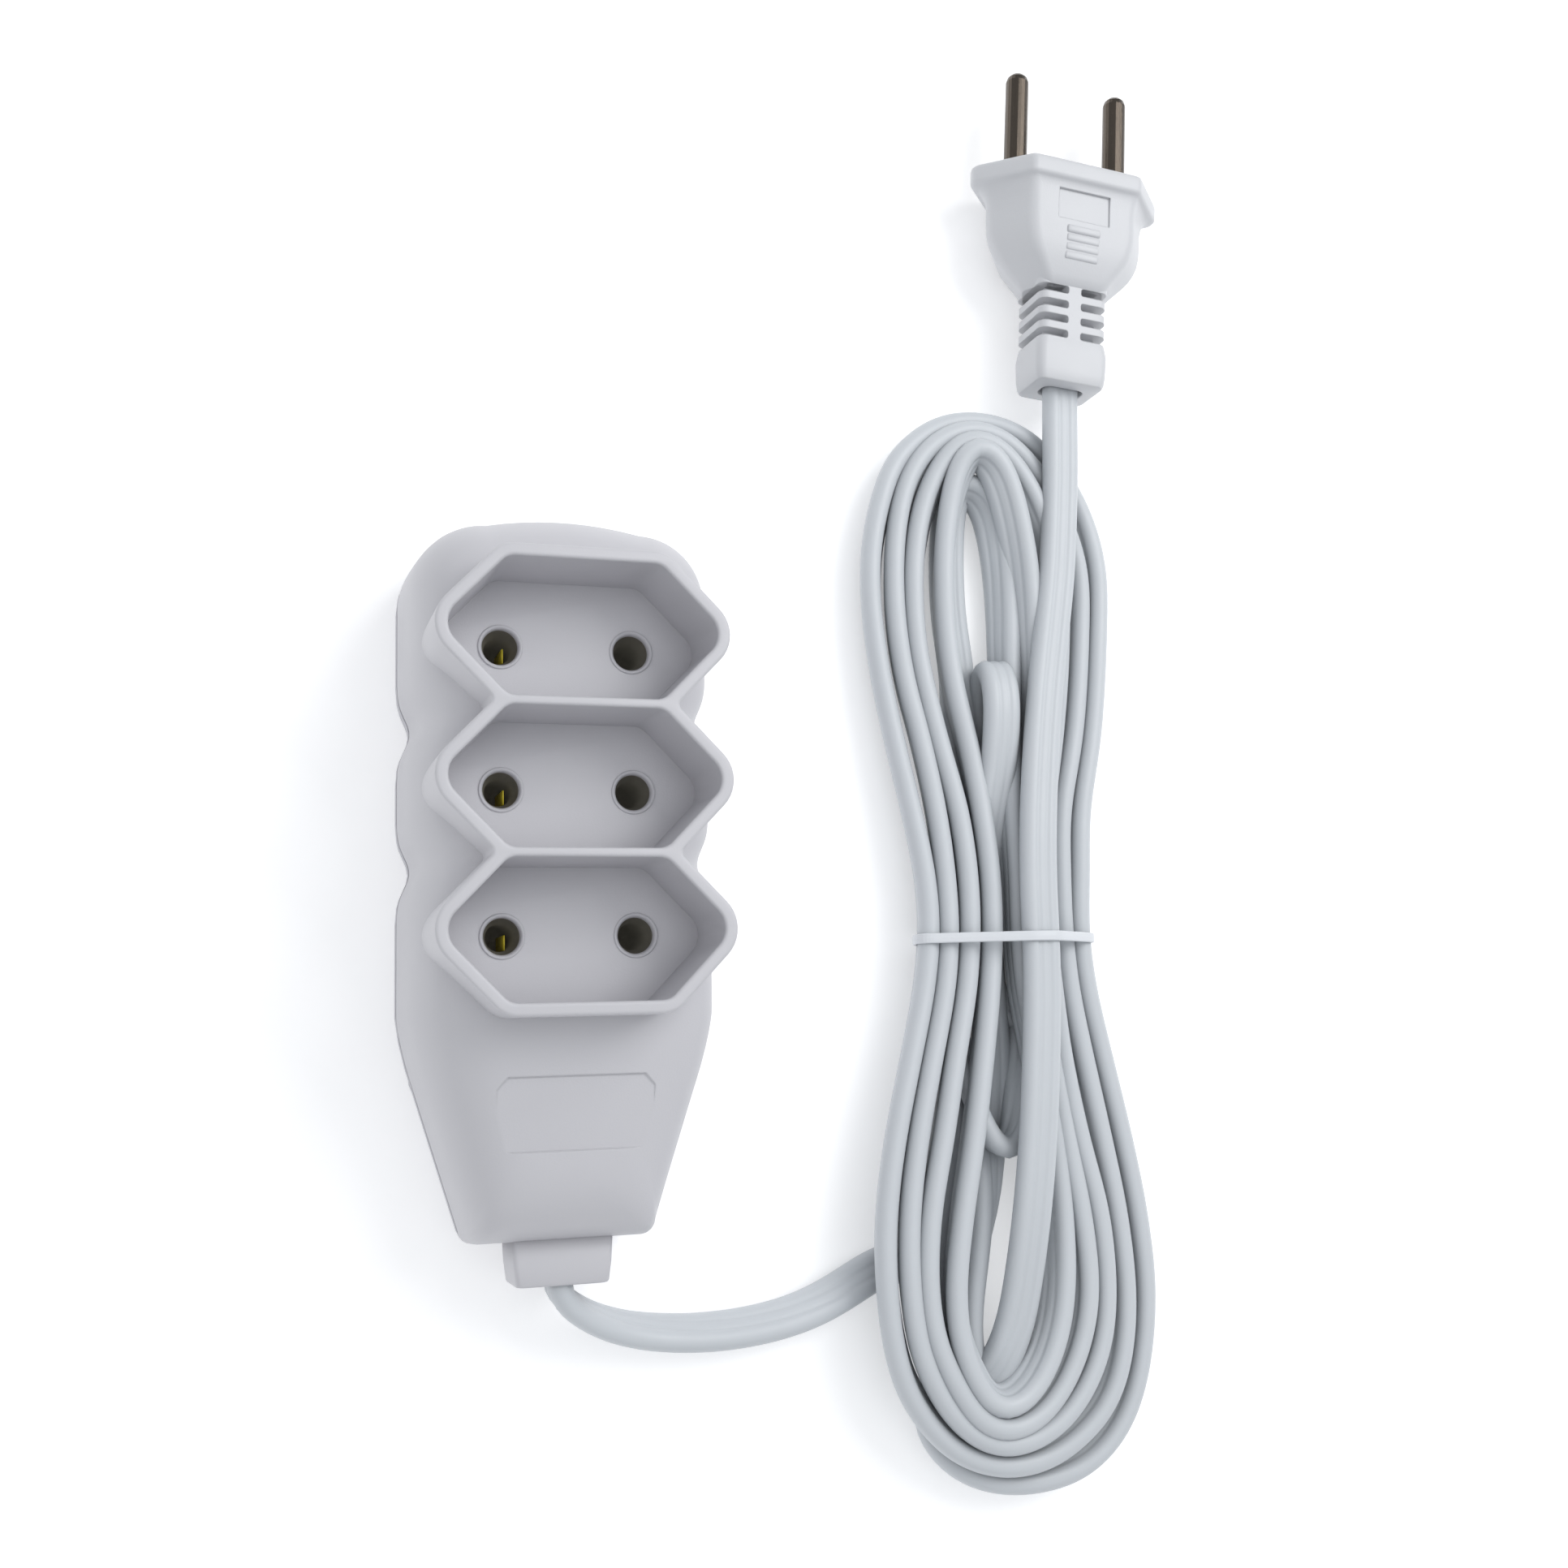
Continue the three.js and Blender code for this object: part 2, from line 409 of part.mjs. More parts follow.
// ---------------------------------------------------------------- plug
const plug = new THREE.Group();
plug.position.set(...PLUG_POS);
plug.rotation.z = PLUG_TURN * Math.PI / 180;
root.add(plug);
const hexRing = (w, h, flat, rs, rc, y) => ringY(rounded(
  [[w, 0, rs], [flat, h, rc], [-flat, h, rc], [-w, 0, rs], [-flat, -h, rc], [flat, -h, rc]], 4), y);
{
  const F = FLANGE_HALF_W, H = FLANGE_HALF_H;
  // flange, body and tapered shoulder in one skin
  let s = loft([
    hexRing(F - 0.5, H - 0.5, FLANGE_FLAT_X - 0.2, 1.8, 1.4, 0),
    hexRing(F, H, FLANGE_FLAT_X, 2.0, 1.6, -0.6),
    hexRing(F, H, FLANGE_FLAT_X, 2.0, 1.6, -FLANGE_T + 0.4),
    hexRing(F - 0.5, H - 0.4, FLANGE_FLAT_X, 2.0, 1.6, -FLANGE_T)]);
  const B = PLUG_HALF_W, T = PLUG_HALF_H;
  s = s.add(loft([
    hexRing(B, T, 9.4, 2.6, 2.4, -FLANGE_T + 0.5),
    hexRing(B, T, 9.4, 2.6, 2.4, -10.6),
    hexRing(B - 0.7, T - 0.2, 9.0, 2.6, 2.4, -13.2),
    hexRing(B - 3.0, T - 0.9, 7.6, 2.4, 2.2, -16.0),
    hexRing(8.6, T - 2.0, 5.4, 1.9, 1.9, -19.6),
    hexRing(7.4, T - 2.6, 4.9, 1.6, 1.6, -20.6)]));
  // strain relief: round-cornered stem with four rows of slots on each side
  const stem = (hw, hh, y) => ringY(rounded([[hw, hh, 1.5], [-hw, hh, 1.5], [-hw, -hh, 1.5], [hw, -hh, 1.5]], 4), y);
  let b = loft([stem(BOOT_HALF_W + 0.3, BOOT_HALF_H + 0.1, BOOT_START_Y + 0.5), stem(BOOT_HALF_W, BOOT_HALF_H, -30.6), stem(BOOT_HALF_W + 0.2, BOOT_HALF_H + 0.1, -31.2),
    stem(BOOT_HALF_W - 0.2, BOOT_HALF_H - 0.1, -37.2), stem(BOOT_HALF_W - 0.6, BOOT_HALF_H - 0.4, BOOT_END_Y)]);
  for (let k = 0; k < 4; k++) {
    const y1 = -20.7 - k * 2.7, y0 = y1 - 1.4;
    for (const sx of [-1, 1]) for (const sz of [-1, 1]) {
      const x0 = sx * 1.15, x1 = sx * 9, zi = sz * 2.7, zo = sz * 9;
      b = b.subtract(box(Math.min(x0, x1), Math.max(x0, x1), y0, y1, Math.min(zi, zo), Math.max(zi, zo)));
    }
    for (const sx of [-1, 1])
      b = b.subtract(box(Math.min(sx * 4.7, sx * 9), Math.max(sx * 4.7, sx * 9), y0, y1, -9, 9));
  }
  s = s.add(b);
  // pocket for the pin carrier, the space behind it, and the way in for the cord
  s = s.subtract(loft([hexRing(14.0, 5.6, 8.2, 1.4, 1.2, 1), hexRing(14.0, 5.6, 8.2, 1.4, 1.2, -8.3)]));
  s = s.subtract(loft([stem(11.6, 3.6, -8.0), stem(11.6, 3.6, -12.2), stem(4.6, 2.6, -18.0)]));
  const cordHole = y => ringY(rounded([[CORD_W / 2 + GAP, CORD_T / 2 + GAP, 1.6], [-CORD_W / 2 - GAP, CORD_T / 2 + GAP, 1.6],
    [-CORD_W / 2 - GAP, -CORD_T / 2 - GAP, 1.6], [CORD_W / 2 + GAP, -CORD_T / 2 - GAP, 1.6]], 3), y);
  s = s.subtract(loft([cordHole(-16.5), cordHole(BOOT_END_Y - 1)]));
  // blank panel and finger steps on both broad faces
  for (const sz of [-1, 1]) {
    s = s.subtract(box(-5.8, 5.8, -10.4, -4.6, Math.min(sz * (T - 0.25), sz * 9), Math.max(sz * (T - 0.25), sz * 9)));
    for (let k = 0; k < 4; k++)
      s = s.add(box(-3.6, 3.6, -12.5 - k * 1.5, -11.9 - k * 1.5, Math.min(sz * 4.6, sz * (T + 0.25 - k * 0.3)), Math.max(sz * 4.6, sz * (T + 0.25 - k * 0.3))));
  }
  piece('plug_body', s, PLUG(), plug);

  // pin carrier: rigid block that holds both pins
  let c = loft([hexRing(13.7, 5.3, 8.0, 1.2, 1.0, -0.2), hexRing(13.7, 5.3, 8.0, 1.2, 1.0, -8.0)]);
  for (const sx of [-1, 1]) c = c.subtract(rodY(sx * PIN_SPACING / 2, 0, -10, 2, PIN_R + GAP, PIN_R + GAP, 20));
  piece('plug_pin_carrier', c, INNER(), plug);

  for (const [side, sx] of [['left', -1], ['right', 1]]) {
    const x = sx * PIN_SPACING / 2;
    const g = new THREE.LatheGeometry([[0, -7.6], [PIN_R, -7.6], [PIN_R, PIN_LEN - 1.5], [PIN_R - 0.25, PIN_LEN - 0.7], [PIN_R - 0.85, PIN_LEN - 0.1], [0, PIN_LEN]].map(p => V2(...p)), 20);
    g.translate(x, 0, 0);
    let p = solid(g);
    // solder tail behind the carrier
    p = p.add(rodY(x, 0, -10.4, -7.4, 1.1, 1.1, 12));
    piece(`plug_pin_${side}`, p, NICKEL(), plug);
    piece(`plug_core_${side}`, tube([[sx * 1.55, -17.6, 0], [sx * 1.8, -16.4, 0], [sx * 4.0, -14.2, 0], [sx * 7.4, -12.6, 0], [sx * 9.0, -11.9, 0], [sx * 9.5, -11.3, 0], [sx * 9.5, -10.7, 0]], CORE_R * 2, CORE_R * 2, 14, 8), side === 'left' ? BROWN() : BLUE(), plug);
  }
  // sheathed end of the cord inside the strain relief
  piece('plug_cord_end', tube([[0, -17.9, 0], [0, -24, 0], [0, -31, 0], [0, BOOT_END_Y + 0.1, 0]], CORD_T, CORD_W, 6, 12), CORD(), plug);
}

// ---------------------------------------------------------------- free cord
// world position of a point given in the plug's frame
plug.updateMatrixWorld(true);
const fromPlug = (x, y, z) => new THREE.Vector3(x, y, z).applyMatrix4(plug.matrixWorld).toArray();

// from the grommet, down onto the surface and round to the hank, on edge
const LEAD_BLOCK = [
  [0, NECK_END_Y - GAP, CORD_Z], [0.1, -59.3, 10.36], [1.3, -61.5, 9.4], [4.8, -63.8, 6.8], [10.4, -65.9, 4.4], [16.5, -67.1, 3.3],
  [24.0, -67.5, 3.2], [31.0, -67.1, 3.2], [37.5, -66.0, 3.2], [43.2, -64.1, 3.2], [47.0, -62.3, 3.2]];
// from the top of the tied hank to the plug, flat
const LEAD_PLUG = [
  [75.1, -42.2, LEAD_Z], [76.9, -28.0, LEAD_Z], [77.7, -17.0, LEAD_Z], [77.9, -9.1, LEAD_Z], [78.1, 0.0, 12.3], [78.9, 10.0, 11.85], [80.9, 24.0, 10.9], [82.9, 35.0, 10.05],
  [84.7, 44.0, 9.55], [86.2, 52.5, 9.3], [87.0, 60.0, 9.2], [87.7, 68.0, 9.2], fromPlug(0, BOOT_END_Y - 7, 0), fromPlug(0, BOOT_END_Y - 3, 0), fromPlug(0, BOOT_END_Y - 0.2, 0)];
piece('cord_lead_block', tube(LEAD_BLOCK, CORD_W, CORD_T, 26, 12), CORD());
piece('cord_lead_plug', tube(LEAD_PLUG, CORD_T, CORD_W, 34, 12), CORD());

// outer shape of the folded hank, by cross-sections: y, left side, right side, height.
// It is two layers thick below the waist, where the lead comes out on top.
const HANK = [
  [-95.6, 70.0, 77.0, 6.5], [-94.0, 65.0, 82.5, 7.2], [-91.5, 60.8, 87.0, 8.0], [-87.0, 57.0, 91.6, 9.4], [-81.0, 54.3, 95.3, 11.2], [-73.0, 51.9, 97.9, 12.8],
  [-64.0, 50.6, 98.6, 13.4], [-54.0, 50.8, 98.0, 13.4], [-43.4, 52.2, 96.2, 13.0], [-43.2, 52.3, 96.1, 10.35], [-36.0, 54.0, 94.3, 10.3], [-28.0, 56.0, 92.6, HANK_Z],
  [-18.0, 58.2, 90.9, HANK_Z], [-8.0, 59.7, 90.1, HANK_Z], [1.0, 59.4, 90.6, 10.2], [11.0, 57.7, 91.6, 9.7], [24.0, 55.0, 94.6, 8.7], [36.0, 53.0, 96.8, 7.7], [46.0, 52.2, 97.6, 7.2],
  [54.0, 52.4, 97.5, 7.0], [62.0, 54.2, 95.7, 6.9], [68.0, 57.0, 92.5, 6.8], [73.0, 61.0, 88.5, 6.7], [77.0, 66.0, 83.5, 6.6], [79.2, 71.0, 78.5, 6.5]];
{
  const across = ([y, a, b, h]) => [[a, 1.2], [a + 1.2, 0], [b - 1.2, 0], [b, 1.2], [b, h - 1.4], [b - 1.4, h], [a + 1.4, h], [a, h - 1.4]].map(([x, z]) => new THREE.Vector3(x, y, z));
  let s = loft(HANK.map(across));
  // drawn in where the tie goes round it
  s = s.subtract(box(50, 110, TIE_Y - 1.3, TIE_Y + 1.3, -1, 20).subtract(box(TIE_X0 + 0.3, TIE_X1 - 0.3, TIE_Y - 2, TIE_Y + 2, 0.85, HANK_Z - 0.8)));
  piece('cord_hank', s, CORD());
}
// tie round the waist of the hank and the lead on it
{
  const y = TIE_Y, hw = 0.95;
  const arch = d => rounded([[TIE_X0 - d, 0.55 - d, 0.1 + d], [TIE_X1 + d, 0.55 - d, 0.1 + d], [TIE_X1 + d, HANK_Z - 0.5 + d, 1.4 + d], [82.8 + d, LEAD_Z + 2.0 + d, 1.2 + d],
    [73.0 - d, LEAD_Z + 2.0 + d, 1.2 + d], [TIE_X0 - d, HANK_Z - 0.5 + d, 1.4 + d]], 3);
  const outer = arch(0.55), inner = arch(0);
  let s = loft([ringY(outer.map(p => V2(p.x, -p.y)), y - hw), ringY(outer.map(p => V2(p.x, -p.y)), y + hw)]);
  s = s.subtract(loft([ringY(inner.map(p => V2(p.x, -p.y)), y - hw - 1), ringY(inner.map(p => V2(p.x, -p.y)), y + hw + 1)]));
  piece('cord_tie', s, mat(0xdfe6ea, 0.35));
}

export default root;
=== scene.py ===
# Extension cord with a three-way socket block, a folded and tied flat cord and a two-pin plug.
# Lengths in the tables below are millimetres in the row frame.
import math
import random

import bmesh
import bpy
import numpy as np
from mathutils import Matrix, Vector


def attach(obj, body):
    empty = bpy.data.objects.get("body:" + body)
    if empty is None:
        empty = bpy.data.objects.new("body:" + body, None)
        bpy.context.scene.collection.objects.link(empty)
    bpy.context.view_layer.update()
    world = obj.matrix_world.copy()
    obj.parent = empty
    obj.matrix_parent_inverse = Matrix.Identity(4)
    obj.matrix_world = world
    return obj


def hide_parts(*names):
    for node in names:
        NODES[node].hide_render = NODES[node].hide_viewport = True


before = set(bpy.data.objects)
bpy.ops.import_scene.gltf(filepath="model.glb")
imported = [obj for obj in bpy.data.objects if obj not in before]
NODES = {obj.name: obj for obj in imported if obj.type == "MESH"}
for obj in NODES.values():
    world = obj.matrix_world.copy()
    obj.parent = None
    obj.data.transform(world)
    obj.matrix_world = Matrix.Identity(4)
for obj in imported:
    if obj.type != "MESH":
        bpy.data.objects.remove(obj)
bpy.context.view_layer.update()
MM = 0.001
random.seed(7)
np.random.seed(7)
SC = bpy.context.scene

# ------------------------------------------------------------------ camera
ROT = np.array([[0.9472, -0.0305, 0.3192], [0.0193, -0.9882, -0.1517], [0.3201, 0.1498, -0.9355]])
u_, _, vt_ = np.linalg.svd(ROT)
ROT = u_ @ vt_
cam_data = bpy.data.cameras.new("camera")
cam_data.sensor_width = 36.0
cam_data.lens = 2150.0 / 1932.0 * 36.0
cam_data.clip_start = 0.01
cam_data.clip_end = 20
cam = bpy.data.objects.new("camera", cam_data)
SC.collection.objects.link(cam)
M3 = ROT.T @ np.diag([1.0, -1.0, -1.0])
cam.matrix_world = Matrix.Translation(Vector((-50.19, -26.00, 262.84)) * MM) @ Matrix(M3.tolist()).to_4x4()
SC.camera = cam

# ------------------------------------------------------------------ materials
def srgb(r, g, b):
    def f(c):
        c /= 255.0
        return c / 12.92 if c <= 0.04045 else ((c + 0.055) / 1.055) ** 2.4
    return (f(r), f(g), f(b), 1.0)


def material(name, color, rough=0.45, metal=0.0, tint=0.02, mottle=40.0, grain=2200.0, grain_bump=0.02,
             wave=0.0, rough_var=0.06, coat=0.0, sss=0.0, edge=0.35, stretch=(1, 1, 1), ao=0.0, reach=0.004):
    """Moulded or drawn surface: slow colour drift, fine grain in roughness and bump, and with ao painted shade in
    hollows.
    """
    m = bpy.data.materials.new(name)
    m.use_nodes = True
    nt = m.node_tree
    N, L = nt.nodes, nt.links
    N.clear()
    out = N.new("ShaderNodeOutputMaterial")
    b = N.new("ShaderNodeBsdfPrincipled")
    L.new(b.outputs[0], out.inputs[0])
    b.inputs["Metallic"].default_value = metal
    b.inputs["Coat Weight"].default_value = coat
    b.inputs["Coat Roughness"].default_value = 0.25
    if sss:
        b.inputs["Subsurface Weight"].default_value = sss
        b.inputs["Subsurface Radius"].default_value = (0.0012, 0.0011, 0.001)
        b.inputs["Subsurface Scale"].default_value = 1.0
    tc = N.new("ShaderNodeTexCoord")
    mp = N.new("ShaderNodeMapping")
    mp.inputs["Scale"].default_value = stretch
    L.new(tc.outputs["Object"], mp.inputs[0])
    slow = N.new("ShaderNodeTexNoise")
    slow.inputs["Scale"].default_value = mottle
    slow.inputs["Detail"].default_value = 4
    L.new(mp.outputs[0], slow.inputs["Vector"])
    fine = N.new("ShaderNodeTexNoise")
    fine.inputs["Scale"].default_value = grain
    fine.inputs["Detail"].default_value = 3
    L.new(mp.outputs[0], fine.inputs["Vector"])
    mid = N.new("ShaderNodeTexNoise")
    mid.inputs["Scale"].default_value = mottle * 7
    mid.inputs["Detail"].default_value = 5
    L.new(mp.outputs[0], mid.inputs["Vector"])
    # colour
    ramp = N.new("ShaderNodeMix")
    ramp.data_type = "RGBA"
    c = Vector(color[:3])
    ramp.inputs[6].default_value = (*(c * (1 - tint)), 1)
    ramp.inputs[7].default_value = (*[min(x * (1 + tint), 1.0) for x in c], 1)
    L.new(slow.outputs[0], ramp.inputs[0])
    col = ramp.outputs[2]
    # painted shade: where ambient occlusion finds a hollow or a near neighbour, the base colour is darkened by the ao
    # fraction
    if ao:
        occ = N.new("ShaderNodeAmbientOcclusion")
        occ.inputs["Distance"].default_value = reach
        occ.samples = 6
        occlusion_shade = N.new("ShaderNodeMix")
        occlusion_shade.data_type = "RGBA"
        occlusion_shade.inputs[6].default_value = (*(c * (1 - ao)), 1)
        L.new(occ.outputs["AO"], occlusion_shade.inputs[0])
        L.new(col, occlusion_shade.inputs[7])
        col = occlusion_shade.outputs[2]
    L.new(col, b.inputs["Base Color"])
    # roughness
    mr = N.new("ShaderNodeMapRange")
    mr.inputs["To Min"].default_value = max(rough - rough_var, 0.02)
    mr.inputs["To Max"].default_value = min(rough + rough_var, 1.0)
    L.new(mid.outputs[0], mr.inputs[0])
    L.new(mr.outputs[0], b.inputs["Roughness"])
    # bump
    bump = N.new("ShaderNodeBump")
    bump.inputs["Strength"].default_value = grain_bump * 10
    bump.inputs["Distance"].default_value = 0.00006
    L.new(fine.outputs[0], bump.inputs["Height"])
    nrm = bump.outputs[0]
    bump2 = N.new("ShaderNodeBump")
    bump2.inputs["Strength"].default_value = 0.25
    bump2.inputs["Distance"].default_value = 0.00008
    L.new(mid.outputs[0], bump2.inputs["Height"])
    L.new(nrm, bump2.inputs["Normal"])
    nrm = bump2.outputs[0]
    if edge:
        bev = N.new("ShaderNodeBevel")
        bev.samples = 4
        bev.inputs["Radius"].default_value = edge * MM
        L.new(bev.outputs[0], bump.inputs["Normal"])
    L.new(nrm, b.inputs["Normal"])
    return m


# SHELL and PLUG carry a light painted shade in their hollows (ao); CORD carries a stronger painted shade between the
# turns of the hank
SHELL = material("moulded_shell", srgb(204, 203, 207), 0.42, mottle=30, grain=3800, grain_bump=0.03, edge=0.4, ao=0.10)
BACK = material("moulded_shell_back", srgb(198, 197, 202), 0.5, mottle=30, grain=3000, grain_bump=0.05, edge=0.4)
CORD = material("cord_sheath", srgb(205, 209, 213), 0.42, mottle=60, grain=1500, grain_bump=0.02, edge=0, sss=0.05, ao=0.34, reach=0.005)
PLUG = material("plug_plastic", srgb(208, 209, 212), 0.40, mottle=35, grain=3400, grain_bump=0.03, edge=0.3, ao=0.10)
TIE = material("tie_plastic", srgb(224, 227, 231), 0.35, mottle=50, grain=2500, edge=0)
INNER = material("inner_plastic", srgb(190, 190, 192), 0.6, edge=0.2)
BRASS = material("contact_brass", srgb(214, 168, 72), 0.32, metal=1.0, mottle=120, grain=5000, stretch=(1, 0.1, 1), edge=0.1)
# painted reflection: the nickel colour is set dark so the pins carry the dark reflection they show
NICKEL = material("nickel_plate", srgb(96, 88, 80), 0.22, metal=1.0, mottle=90, grain=5200, grain_bump=0.03, stretch=(6, 0.5, 6), edge=0.15)
# lit copy of the contact brass, brighter and less metallic: painted highlight
BRASS_PAINTED_HIGHLIGHT = material("contact_brass_painted_highlight", srgb(226, 206, 60), 0.5, metal=0.25, mottle=120, grain=5000, edge=0)
STEEL = material("zinc_steel", srgb(165, 167, 170), 0.36, metal=1.0, mottle=100, grain=4000, edge=0.1)
BROWN = material("core_brown", srgb(112, 74, 50), 0.5, edge=0)
BLUE = material("core_blue", srgb(66, 118, 178), 0.5, edge=0)
# inner walls of the pin holes coloured dark: painted shade
WELL_PAINTED_SHADE = material("socket_well_painted_shade", srgb(124, 120, 110), 0.6, edge=0)

# ------------------------------------------------------------------ the cord
W, T = 6.3, 3.4          # flat two-core sheath
SPEED = 1.15             # spacing of sections along it, mm

LEAD_IN = [   # x, y, z, lean in degrees from standing on edge
    (0.0, -56.8, 10.4, 0), (0.1, -58.4, 10.2, 0), (1.0, -60.2, 9.4, 4), (3.3, -62.2, 7.8, 12), (6.8, -64.2, 6.0, 22), (11.0, -65.8, 4.6, 30),
    (16.5, -66.9, 3.7, 40), (22.5, -67.4, 3.2, 46), (29.5, -67.2, 3.0, 50), (36.5, -66.2, 2.9, 54), (43.0, -64.2, 2.6, 62), (48.5, -61.6, 2.1, 74),
    (53.0, -59.6, 1.9, 82), (57.6, -59.4, 1.9, 84), (61.6, -61.6, 1.9, 84), (63.8, -65.4, 1.9, 84), (64.1, -70.0, 1.9, 84), (62.4, -74.8, 1.9, 82),
    (60.2, -79.0, 2.2, 76), (58.9, -82.6, 3.0, 62)]
